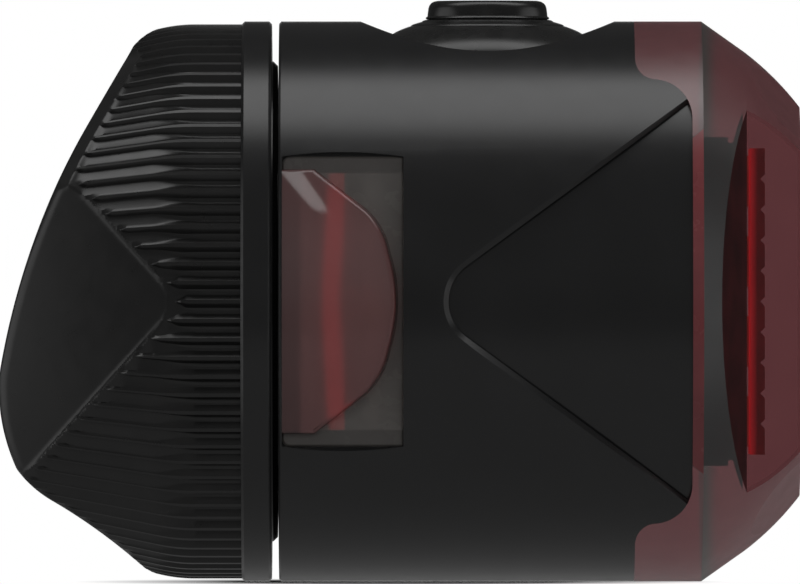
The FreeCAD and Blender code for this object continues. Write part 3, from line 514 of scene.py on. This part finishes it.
def lean_upper_corner(made):
    """Lean the shading upward in a slanting band near the boss's upper rear corner, as a soft dent would."""
    tree = made.node_tree
    place = node(tree, "ShaderNodeTexCoord")
    across = node(tree, "ShaderNodeVectorMath", operation="DOT_PRODUCT")
    centre_x, centre_z, slant_x, slant_z = boss_glint
    across.inputs[1].default_value = (slant_x / mm, 0.0, slant_z / mm)
    link(tree, place.outputs["Object"], across.inputs[0])
    offset = node(tree, "ShaderNodeMath", operation="SUBTRACT")
    offset.inputs[1].default_value = centre_x * slant_x + centre_z * slant_z
    link(tree, across.outputs["Value"], offset.inputs[0])
    band = ramp(tree, absolute(tree, offset.outputs[0]), *glint_width, 1.0, 0.0, True)
    start, end = glint_heights
    high = ramp(tree, axes(tree)["Z"], start * mm, end * mm, 0.0, glint_lean, True)
    lift = node(tree, "ShaderNodeCombineXYZ")
    link(tree, times(tree, band, high), lift.inputs["Z"])
    shape = node(tree, "ShaderNodeNewGeometry")
    total = node(tree, "ShaderNodeVectorMath", operation="ADD")
    link(tree, shape.outputs["Normal"], total.inputs[0])
    link(tree, lift.outputs["Vector"], total.inputs[1])
    unit = node(tree, "ShaderNodeVectorMath", operation="NORMALIZE")
    link(tree, total.outputs["Vector"], unit.inputs[0])
    link(tree, unit.outputs["Vector"], tree.nodes["Principled BSDF"].inputs["Coat Normal"])


def guide_glow(tree, along, guide, level):
    """Glow of one light guide, which rises to its level and falls again along the lamp."""
    rise_start, rise_end, fall_start, fall_end = (place * mm for place in guide)
    return times(tree, ramp(tree, along, rise_start, rise_end, 0.0, level),
                 ramp(tree, along, fall_start, fall_end, 1.0, 0.0))


def bright_red():
    """Red light guide that glows faintly along its window, and not on the stem behind it."""
    made = material("bright_red", (0.36, 0.025, 0.03), 0.3, Emission_Color=(0.9, 0.03, 0.045, 1.0))
    mottle(made, (0.32, 0.02, 0.026), (0.40, 0.03, 0.036), 0.6)
    grain(made, 3.0, 0.002)
    tree = made.node_tree
    place = axes(tree)
    bent = node(tree, "ShaderNodeMath", operation="MULTIPLY_ADD")
    link(tree, absolute(tree, place["Z"]), bent.inputs[0])
    bent.inputs[1].default_value = -guide_bend
    link(tree, place["X"], bent.inputs[2])
    glow = largest(tree, guide_glow(tree, place["X"], guide_front, guide_front_glow),
                   guide_glow(tree, bent.outputs[0], guide_rear, guide_rear_glow))
    link(tree, glow, tree.nodes["Principled BSDF"].inputs["Emission Strength"])
    return made


def led_resin():
    made = material("led_resin", (0.75, 0.66, 0.42), 0.25)
    mottle(made, (0.70, 0.60, 0.36), (0.80, 0.72, 0.50), 1.0)
    return made


def board_green():
    made = material("board_green", (0.02, 0.09, 0.04), 0.35)
    mottle(made, (0.016, 0.075, 0.032), (0.026, 0.11, 0.05), 0.9)
    grain(made, 3.0, 0.004, 1.0, (1.0, 1.0, 5.0))
    return made


def chip_black():
    made = material("chip_black", (0.02, 0.02, 0.022), 0.5)
    mottle(made, (0.016, 0.016, 0.018), (0.026, 0.026, 0.028), 1.5)
    grain(made, 8.0, 0.003)
    return made


def brushed_steel(name, low, high, stretch):
    made = material(name, (0.58, 0.58, 0.60), (low + high) / 2, Metallic=1.0)
    mottle(made, (0.52, 0.52, 0.54), (0.64, 0.64, 0.66), 0.8)
    polish(made, low, high, 1.5)
    grain(made, 5.0, 0.002, 2.0, stretch)
    return made


def battery_foil():
    made = material("battery_foil", (0.62, 0.62, 0.63), 0.34, Metallic=0.9)
    mottle(made, (0.56, 0.56, 0.57), (0.68, 0.68, 0.69), 0.3)
    polish(made, 0.28, 0.42, 0.5)
    grain(made, 0.8, 0.03)
    return made


def foam():
    made = material("foam", (0.07, 0.07, 0.075), 0.9)
    mottle(made, (0.05, 0.05, 0.055), (0.09, 0.09, 0.095), 2.0)
    grain(made, 4.0, 0.03)
    return made


def lead_red():
    made = material("lead_red", (0.45, 0.02, 0.02), 0.4)
    mottle(made, (0.40, 0.015, 0.015), (0.50, 0.03, 0.03), 0.6)
    grain(made, 3.0, 0.003)
    return made


finishes = {
    "rubber_grip": grip_rubber(),
    "black_plastic": moulded_black(),
    "black_inner": inner_black(),
    "button_rubber": button_rubber(),
    "seal_rubber": seal_rubber(),
    "red_lens": smoked_red(),
    "smoke_window": smoked_pane(),
    "red_optic": bright_red(),
    "led_resin": led_resin(),
    "board_green": board_green(),
    "chip_black": chip_black(),
    "socket_steel": brushed_steel("socket_steel", 0.26, 0.36, (4.0, 0.5, 0.5)),
    "steel": brushed_steel("screw_steel", 0.24, 0.34, (1.0, 1.0, 1.0)),
    "battery_foil": battery_foil(),
    "foam": foam(),
    "lead_red": lead_red(),
}

for part in frame["record"]["subparts"]:
    shown = nodes[part["node"]]
    shown.data.materials.clear()
    shown.data.materials.append(finishes[part["material_slot"]])


def smooth_mesh(name, verts, faces, sharp):
    """A mesh shaded smooth except across edges sharper than an angle in degrees."""
    mesh = bpy.data.meshes.new(name)
    mesh.from_pydata(verts, [], faces)
    mesh.shade_smooth()
    mesh.set_sharp_from_angle(angle=math.radians(sharp))
    mesh.update()
    return mesh


def add_object(name, data):
    made = bpy.data.objects.new(name, data)
    bpy.context.scene.collection.objects.link(made)
    return made


def show(name, mesh, finish, body, *replaced):
    """Put a mesh in the scene on a body, in place of the solids it stands for."""
    if not mesh.materials:
        mesh.materials.append(finishes[finish])
    piece = add_object(name, mesh)
    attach(piece, body)
    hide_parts(*replaced)


def arc_through(a, b, c, count=24):
    """Points on the arc from a through b to c."""
    ax, az = a
    bx, bz = b
    cx, cz = c
    d = 2 * (ax * (bz - cz) + bx * (cz - az) + cx * (az - bz))
    square_a, square_b, square_c = (ax * ax + az * az, bx * bx + bz * bz, cx * cx + cz * cz)
    ux = (square_a * (bz - cz) + square_b * (cz - az) + square_c * (az - bz)) / d
    uz = (square_a * (cx - bx) + square_b * (ax - cx) + square_c * (bx - ax)) / d
    radius = math.hypot(ax - ux, az - uz)
    start = math.atan2(az - uz, ax - ux)
    middle = (math.atan2(bz - uz, bx - ux) - start + math.pi) % (2 * math.pi) - math.pi
    end = (math.atan2(cz - uz, cx - ux) - start + math.pi) % (2 * math.pi) - math.pi
    if middle * end < 0:
        end -= math.copysign(2 * math.pi, end)
    steps = [start + end * i / count for i in range(count + 1)]
    return [(ux + radius * math.cos(s), uz + radius * math.sin(s)) for s in steps]


def rear_curve():
    """How far back the pad reaches at each height, and the cosine of its slope there."""
    points = []
    for kind, *through in rear_line:
        points += arc_through(*through) if kind == "arc" else through
    back = np.array([p[0] for p in points])
    height = np.array([p[1] for p in points])
    order = np.argsort(height, kind="stable")
    heights = np.linspace(height.min(), height.max(), rear_line_samples)
    reach = np.interp(heights, height[order], back[order])
    cosine = 1.0 / np.sqrt(1.0 + np.gradient(reach, heights) ** 2)
    return heights, reach, cosine


def smooth_max(a, b, width):
    """The larger of two, with the change from one to the other rounded over a width."""
    return np.maximum(a, b) + np.maximum(width - np.abs(a - b), 0.0) ** 2 / (4.0 * width)


def smooth_min(a, b, width):
    return -smooth_max(-a, -b, width)


def smooth_step(value, low, high):
    """0 below low and 1 above high, with a soft change between."""
    share = np.clip((value - low) / (high - low), 0.0, 1.0)
    return share * share * (3.0 - 2.0 * share)


def between(ends, share):
    return ends[0] + (ends[1] - ends[0]) * share


def pad_crest(back):
    """Crest radius of the pad: a cylinder that bends into a cone."""
    along = np.clip(back - pad_bend_start, 0.0, pad_bend_end - pad_bend_start)
    drop = pad_slope * along ** 2 / (2 * (pad_bend_end - pad_bend_start))
    return pad_radius - drop - pad_slope * np.maximum(back - pad_bend_end, 0.0)


def vee_depth(back, z):
    """How far inside the rounded V a point of the side view lies."""
    along = (back - vee_apex) * math.sin(vee_half_angle)
    across = z * math.cos(vee_half_angle)
    return smooth_min(along - across, along + across, vee_rounding)


def flute_depth(back):
    return between(flute_depths, smooth_step(back, *flute_change))


def pad_floor(back):
    """Radius of the floors between the ridges."""
    return pad_crest(back) - flute_depth(back)


def rear_gap(back, z, rear):
    """Distance ahead of the slanted rear, whose line runs on straight past its rounded ends."""
    heights, reach, cosine = rear
    top, sole = rear_line[1][1], rear_line[5][3]
    top_slope, sole_slope = rear_run_slopes
    limit = np.interp(z, heights, reach)
    limit = np.where(z > top[1], top[0] - top_slope * (z - top[1]), limit)
    limit = np.where(z < sole[1], sole[0] - sole_slope * (sole[1] - z), limit)
    lean = np.interp(np.clip(z, sole[1], top[1]), heights, cosine)
    return (limit - back) * lean


def facet_cut(back, y, z, behind):
    """Distance outside the flat facet of the V, whose rim by the slanted rear bends inward."""
    rim_slope = np.interp(z, facet_rim_heights, facet_rim_slopes)
    rim = rim_slope * smooth_max(facet_rim + behind, 0.0, facet_rim_rounding)
    ahead = np.maximum(back - vee_apex, 0.0)
    half = pad_radius - facet_front_slope * ahead - facet_bend * ahead ** 2
    half = half - facet_belly * np.maximum(-z - facet_belly_start, 0.0) ** 2
    wall = vee_wall_slope * (vee_depth(back, z) - vee_inset)
    return smooth_min(np.abs(y) - half + rim, wall, facet_rounding)


def rim_cut(back, y, z, rear):
    """Distance outside the bevel between the flutes' ends and the slanted rear."""
    gap = rear_gap(back, z, rear)
    crown = np.maximum(smooth_step(np.abs(z), *crown_fade), smooth_step(-z, *lower_fade))
    slope = rim_band_slope * (1.0 - crown)
    rim = np.hypot(y, z) - pad_floor(back) + slope * smooth_max(rim_band - gap, 0.0, rim_band_rounding)
    rim = rim - rim_band_room * np.maximum(smooth_step(gap, *rim_band_fade), crown)
    return np.where(back > pad_bend_start, rim, well_inside)


def post_cut(back, y, z):
    """Distance inside the hollow for the seat post."""
    x = pad_front - back
    across = (x + post_radius / math.cos(post_lean)) * math.cos(post_lean) - z * math.sin(post_lean)
    return post_radius - np.hypot(across, y) - post_ease * smooth_step(z, *post_ease_fade)


def pad_cuts(back, y, z, rear):
    """Distance outside the pad's cut faces: V facets, slanted rear and the hollow for the post."""
    heights, reach, cosine = rear
    limit = np.interp(z, heights, reach)
    behind = (back - limit) * np.interp(z, heights, cosine)
    behind = np.where(np.abs(z) > heights.max(), np.abs(z) - heights.max(), behind)
    facet = facet_cut(back, y, z, behind)
    behind = smooth_max(behind, rim_cut(back, y, z, rear), rear_rounding)
    return smooth_max(smooth_max(facet, behind, edge_rounding), post_cut(back, y, z), edge_rounding)


def pad_outer_rows(rear):
    """Rows of points round the fluted side of the pad: distance back, angle and radius of each."""
    back = np.concatenate([np.linspace(0.0, pad_bend_start, front_rows),
                           np.linspace(cone_row_start, pad_length, cone_rows)])[:, None]
    per_flute = ridge_points + groove_points
    key = np.tile(np.arange(per_flute), flute_count)[None, :]
    pitch = 2 * math.pi / flute_count
    centre = pitch * np.repeat(np.arange(flute_count), per_flute)[None, :]
    depth = flute_depth(back)
    floor = pad_floor(back)
    z = floor * np.cos(centre)
    margin = between(flute_margins, smooth_step(-z, *lower_fade))
    gap = np.maximum(rear_gap(back, z, rear) - margin, through_reach * smooth_step(np.abs(z), *through_fade))
    gap = np.minimum(gap, -vee_depth(back, z))
    rise = smooth_step(gap, 0.0, flute_rise)
    taper = between((flute_tip, 1.0), smooth_step(gap, 0.0, flute_taper))
    crest_half = between(flute_crests, smooth_step(back, *flute_change)) * taper
    wall = flute_wall * depth / flute_depths[0] * taper
    foot = crest_half + wall
    tilt = flute_tilt / depth * np.sign(np.sin(centre)) * smooth_step(back, *flute_tilt_fade)
    shoulder_share, shoulder_height = flute_shoulder
    edge = crest_half + shoulder_share * wall
    ridge = [(-foot, tilt), (-edge, shoulder_height), (-crest_half, 1.0), (0 * wall, 1.0),
             (crest_half, 1.0), (edge, shoulder_height), (foot, -tilt)]
    spread = [2 * step / (groove_points + 1) - 1.0 for step in range(1, groove_points + 1)]
    hollow = np.interp(back, (pad_bend_start, pad_bend_end), flute_hollows)
    groove = [(foot + (1.0 - 2 * foot) * (s + 1.0) / 2, s * tilt * depth - hollow * (1.0 - s ** 2))
              for s in spread]
    angle = centre + 0 * back
    radius = floor + 0 * centre
    for index, (place, height) in enumerate(ridge + groove):
        here = key == index
        lift = depth * height if index < ridge_points else height
        angle = np.where(here, centre + place * pitch, angle)
        radius = np.where(here, floor + rise * lift, radius)
    return back + 0 * radius, angle, radius


def pad_trim(back, y, z, rear):
    """How far along the ray from the middle of the pad's front to each point its rubber reaches, as a share."""
    low = np.zeros_like(back)
    for share in np.linspace(0.0, 1.0, ray_steps + 1)[:-1]:
        low = np.where(pad_cuts(back * share, y * share, z * share, rear) < 0.0, share, low)
    high = low + 1.0 / ray_steps
    for _ in range(ray_halvings):
        share = (low + high) / 2
        outside = pad_cuts(back * share, y * share, z * share, rear) > 0.0
        high = np.where(outside, share, high)
        low = np.where(outside, low, share)
    return np.where((pad_cuts(back, y, z, rear) < 0.0) | (back < uncut_length), 1.0, low)


def make_pad():
    """The fluted rubber pad: rows of points run round the flutes, and rays from its front trim its rear."""
    rear = rear_curve()
    back, angle, radius = pad_outer_rows(rear)
    disc = np.concatenate([np.linspace(1.0, rim_share, rim_rings)[1:],
                           np.linspace(rim_share, 0.0, inner_rings)[1:-1]])[:, None]
    back = np.concatenate([back, np.repeat(back[-1:], len(disc), axis=0)])
    angle = np.concatenate([angle, np.repeat(angle[-1:], len(disc), axis=0)])
    radius = np.concatenate([radius, radius[-1:] * disc])
    y = -radius * np.sin(angle)
    z = radius * np.cos(angle)
    share = pad_trim(back, y, z, rear)
    points = np.stack([pad_front - back * share, y * share, z * share], axis=-1)
    core, lip, lip_start, floor = pad_socket
    spin = angle[0]
    socket = [np.stack([np.full_like(spin, pad_front - deep), -r * np.sin(spin), r * np.cos(spin)], axis=-1)
              for deep, r in ((floor, lip), (lip_start, lip), (lip_start, core), (0.0, core))]
    points = np.concatenate([np.stack(socket), points])
    rows, around = points.shape[:2]
    tips = np.linspace(0.0, pad_length, axis_samples)
    tip = tips[pad_cuts(tips, 0 * tips, 0 * tips, rear) < 0.0].max()
    hubs = [[pad_front - floor, 0.0, 0.0], [pad_front - tip, 0.0, 0.0]]
    verts = np.concatenate([points.reshape(-1, 3), hubs]) * mm
    faces = []
    last = (rows - 1) * around
    for column in range(around):
        after = (column + 1) % around
        for row in range(0, last, around):
            faces.append((row + column, row + after, row + around + after, row + around + column))
        faces.append((rows * around, after, column))
        faces.append((last + column, last + after, rows * around + 1))
    show("grip_pad", smooth_mesh("grip_pad", verts.tolist(), faces, pad_sharp), "rubber_grip", "base", "saddle_pad")


def turned(name, outline, closed):
    """A body turned about the button's axis from (radius, height) points in millimetres."""
    verts = []
    faces = []
    segments = turned_segments
    for radius, height in outline:
        for step in range(segments):
            turn = 2 * math.pi * step / segments
            verts.append(((button_axis + radius * math.cos(turn)) * mm, radius * math.sin(turn) * mm, height * mm))
    rows = len(outline)
    for row in range(rows if closed else rows - 1):
        below = row * segments
        above = (row + 1) % rows * segments
        for step in range(segments):
            after = (step + 1) % segments
            faces.append((below + step, below + after, above + after, above + step))
    if not closed:
        for row, height in ((0, outline[0][1]), (rows - 1, outline[-1][1])):
            hub = len(verts)
            verts.append((button_axis * mm, 0.0, height * mm))
            for step in range(segments):
                ends = (row * segments + step, row * segments + (step + 1) % segments)
                faces.append((*ends, hub) if row else (*reversed(ends), hub))
    return smooth_mesh(name, verts, faces, turned_sharp)


def make_button():
    """The round puck, and the rubber dome around it."""
    foot = stem_foot + stem_clearance
    stem = [(radius, foot + height) for radius, height in stem_outline]
    show("push_puck", turned("push_puck", stem + puck_head, False), "button_rubber", "button", "button_cap")
    dome = add_object("push_dome", turned("push_dome", dome_outline, True))
    dome.data.materials.append(finishes["button_rubber"])
    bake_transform(dome)
    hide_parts("button_skirt")


def recast(name, source, slot, others, choose):
    """A packed lens again, with more materials on the faces that are chosen by centre and normal."""
    made = nodes[source].data.copy()
    made.name = name
    made.transform(nodes[source].matrix_world)
    made.materials.clear()
    for finish in (finishes[slot], *others):
        made.materials.append(finish)
    for face in made.polygons:
        face.material_index = choose(face.center / mm, face.normal)
    show(name, made, slot, "lamp", source)


def lens_face(centre, normal):
    """Which of the lens's finishes a face has."""
    x, y, z = centre
    width, height, front_wall = lens_hollow
    hollow = abs(y) < width + face_slack and abs(z) < height + face_slack and x < lens_front - front_wall + face_slack
    if hollow or (math.hypot(y, z) < lens_bore + face_slack and x < lens_bore_end + face_slack):
        return lens_inside
    if abs(normal.z) < level_normal and notch_normal[0] < normal.x < notch_normal[1] and x < notch_end:
        return notch_wall
    if abs(normal.y) > side_normal and x > notch_flat_start:
        return notch_flat
    if slope_start < x < slope_end and slope_normal[0] < normal.x < slope_normal[1] and math.hypot(y, z) > lens_bore:
        return shoulder
    if lens_edge[0] < x < lens_edge[1] and abs(z) < lens_edge[2] and abs(normal.x) < edge_normal:
        return rear_edge
    return lens_outside


def window_face(centre, normal):
    """0 for the flat pane, 1 for the raised part."""
    return 1 if abs(centre.y) > pane_face + pane_slack else 0


def soften(source, slot, body):
    """A rubber or foam part again, with its sharp edges rounded."""
    shape = bmesh.new()
    shape.from_mesh(nodes[source].data)
    bmesh.ops.remove_doubles(shape, verts=shape.verts, dist=soft_merge * mm)
    bmesh.ops.dissolve_limit(shape, angle_limit=math.radians(soft_flat), verts=shape.verts, edges=shape.edges)
    sharp = [edge for edge in shape.edges if edge.is_manifold and edge.calc_face_angle(0.0) > math.radians(soft_edge)]
    bmesh.ops.bevel(shape, geom=sharp, offset=soft_round * mm, segments=2, profile=0.5, affect="EDGES",
                    clamp_overlap=True)
    bmesh.ops.triangulate(shape, faces=shape.faces)
    name = "soft_" + source
    made = bpy.data.meshes.new(name)
    shape.to_mesh(made)
    shape.free()
    made.transform(nodes[source].matrix_world)
    made.shade_smooth()
    made.set_sharp_from_angle(angle=math.radians(soft_sharp))
    show(name, made, slot, body, source)


def make_lenses():
    """The front lens with a clear hollow, and the side windows with their red raised parts."""
    others = [clear_inside(), painted_shade_wall(), lit_edge(), shoulder_painted_shade(), smoked_flat()]
    recast("red_lens", "front_lens", "red_lens", others, lens_face)
    boss = ruby_boss()
    recast("near_window", "side_window_near", "smoke_window", [boss], window_face)
    recast("far_window", "side_window_far", "smoke_window", [boss], window_face)


def light_path(tree, *rays):
    """1 for any of the named kinds of ray."""
    path = node(tree, "ShaderNodeLightPath")
    return largest(tree, *(path.outputs[ray] for ray in rays))


def softbox_shape(tree, direction, along):
    """1 in the directions of the overhead softbox, which reaches over the lamp from in front."""
    toward = node(tree, "ShaderNodeMath", operation="MULTIPLY")
    toward.inputs[1].default_value = -1.0
    link(tree, direction["Y"], toward.inputs[0])
    rise = node(tree, "ShaderNodeMath", operation="ARCTAN2")
    link(tree, direction["Z"], rise.inputs[0])
    link(tree, toward.outputs[0], rise.inputs[1])
    angle = rise.outputs[0]
    front_edge = ramp(tree, angle, math.radians(softbox_start), math.radians(softbox_full), 0.0, 1.0, True)
    back_edge = ramp(tree, angle, math.radians(softbox_fade), math.radians(softbox_end), 1.0, 0.0, True)
    end_edge = ramp(tree, along, *softbox_reach, 1.0, 0.0, True)
    return times(tree, times(tree, front_edge, back_edge), end_edge)


def make_world():
    """A dim room under one long overhead softbox, with a white backdrop."""
    world = bpy.data.worlds.new("studio")
    bpy.context.scene.world = world
    world.use_nodes = True
    tree = world.node_tree
    tree.nodes.clear()
    direction = axes(tree, "Generated")
    along = absolute(tree, direction["X"])
    above = ramp(tree, direction["Y"], *room_back_fade, room_dim, room_back, True)
    below = ramp(tree, direction["Z"], *room_floor_fade, room_floor, 0.0, True)
    beside = ramp(tree, along, *side_card_edge, 0.0, side_card, True)
    level = node(tree, "ShaderNodeMath", operation="MULTIPLY_ADD")
    link(tree, softbox_shape(tree, direction, along), level.inputs[0])
    level.inputs[1].default_value = softbox_radiance
    link(tree, largest(tree, above, below, beside), level.inputs[2])
    room = node(tree, "ShaderNodeBackground")
    room.inputs["Color"].default_value = (1.0, 1.0, 1.0, 1.0)
    link(tree, level.outputs[0], room.inputs["Strength"])
    backdrop = node(tree, "ShaderNodeBackground")
    backdrop.inputs["Color"].default_value = (1.0, 1.0, 1.0, 1.0)
    backdrop.inputs["Strength"].default_value = backdrop_white
    card = ramp(tree, direction["Y"], *back_card_edge, 0.0, 1.0)
    mirrored = times(tree, card, light_path(tree, "Is Glossy Ray"))
    mix = node(tree, "ShaderNodeMixShader")
    link(tree, largest(tree, mirrored, light_path(tree, "Is Camera Ray", "Is Transmission Ray")), mix.inputs["Fac"])
    link(tree, room.outputs["Background"], mix.inputs[1])
    link(tree, backdrop.outputs["Background"], mix.inputs[2])
    output = node(tree, "ShaderNodeOutputWorld")
    link(tree, mix.outputs["Shader"], output.inputs["Surface"])


def floor_paint():
    """Pale and running out into white where the camera sees it, and grey for all other light."""
    made = bpy.data.materials.new("floor_paint")
    made.use_nodes = True
    tree = made.node_tree
    tree.nodes.clear()
    grey = node(tree, "ShaderNodeBsdfDiffuse")
    grey.inputs["Color"].default_value = (floor_shade, floor_shade, floor_shade, 1.0)
    pale = node(tree, "ShaderNodeBsdfDiffuse")
    pale.inputs["Color"].default_value = (floor_white, floor_white, floor_white, 1.0)
    white = node(tree, "ShaderNodeEmission")
    white.inputs["Strength"].default_value = backdrop_white
    place = node(tree, "ShaderNodeTexCoord")
    distance = node(tree, "ShaderNodeVectorMath", operation="DISTANCE")
    distance.inputs[1].default_value = (view_centre.x, 0.0, floor_z)
    link(tree, place.outputs["Object"], distance.inputs[0])
    near = node(tree, "ShaderNodeMixShader")
    link(tree, ramp(tree, distance.outputs["Value"], *floor_fade, 0.0, 1.0), near.inputs["Fac"])
    link(tree, pale.outputs["BSDF"], near.inputs[1])
    link(tree, white.outputs["Emission"], near.inputs[2])
    seen = node(tree, "ShaderNodeMixShader")
    link(tree, light_path(tree, "Is Camera Ray", "Is Transmission Ray"), seen.inputs["Fac"])
    link(tree, grey.outputs["BSDF"], seen.inputs[1])
    link(tree, near.outputs["Shader"], seen.inputs[2])
    output = node(tree, "ShaderNodeOutputMaterial")
    link(tree, seen.outputs["Shader"], output.inputs["Surface"])
    return made


def make_floor():
    """A plain floor under the barrel, which shiny surfaces don't mirror."""
    mesh = bpy.data.meshes.new("floor")
    corners = [(sx * floor_half, sy * floor_half, floor_z) for sx, sy in ((-1, -1), (1, -1), (1, 1), (-1, 1))]
    mesh.from_pydata(corners, [], [(0, 1, 2, 3)])
    mesh.materials.append(floor_paint())
    floor = add_object("floor", mesh)
    floor.visible_glossy = False


def make_fill():
    """One large soft light in front, which nothing mirrors."""
    lamp = bpy.data.lights.new("fill_front", "AREA")
    lamp.shape = "RECTANGLE"
    lamp.size = fill_size
    lamp.size_y = fill_size
    lamp.energy = fill_power * fill_size ** 2
    box = add_object("fill_front", lamp)
    box.location = fill_place
    box.rotation_euler = (view_centre - Vector(fill_place)).to_track_quat("-Z", "Y").to_euler()
    box.visible_camera = False
    box.visible_glossy = False


def make_camera():
    camera = add_object("camera", bpy.data.cameras.new("camera"))
    bpy.context.scene.camera = camera
    camera.data.lens = lens_mm
    camera.data.sensor_width = sensor_mm
    distance = view_width * lens_mm / sensor_mm
    camera.location = view_centre - Vector((0.0, distance, 0.0))
    camera.rotation_euler = (math.radians(90.0), 0.0, 0.0)
    camera.data.clip_start, camera.data.clip_end = camera_clip


make_pad()
make_button()
make_lenses()
soften("spigot_seal", "seal_rubber", "base")
soften("lens_seal", "seal_rubber", "lamp")
soften("cover_gasket", "seal_rubber", "lamp")
soften("battery_pad", "foam", "lamp")
make_world()
make_floor()
make_fill()
make_camera()
bpy.context.scene.view_settings.view_transform = "Standard"
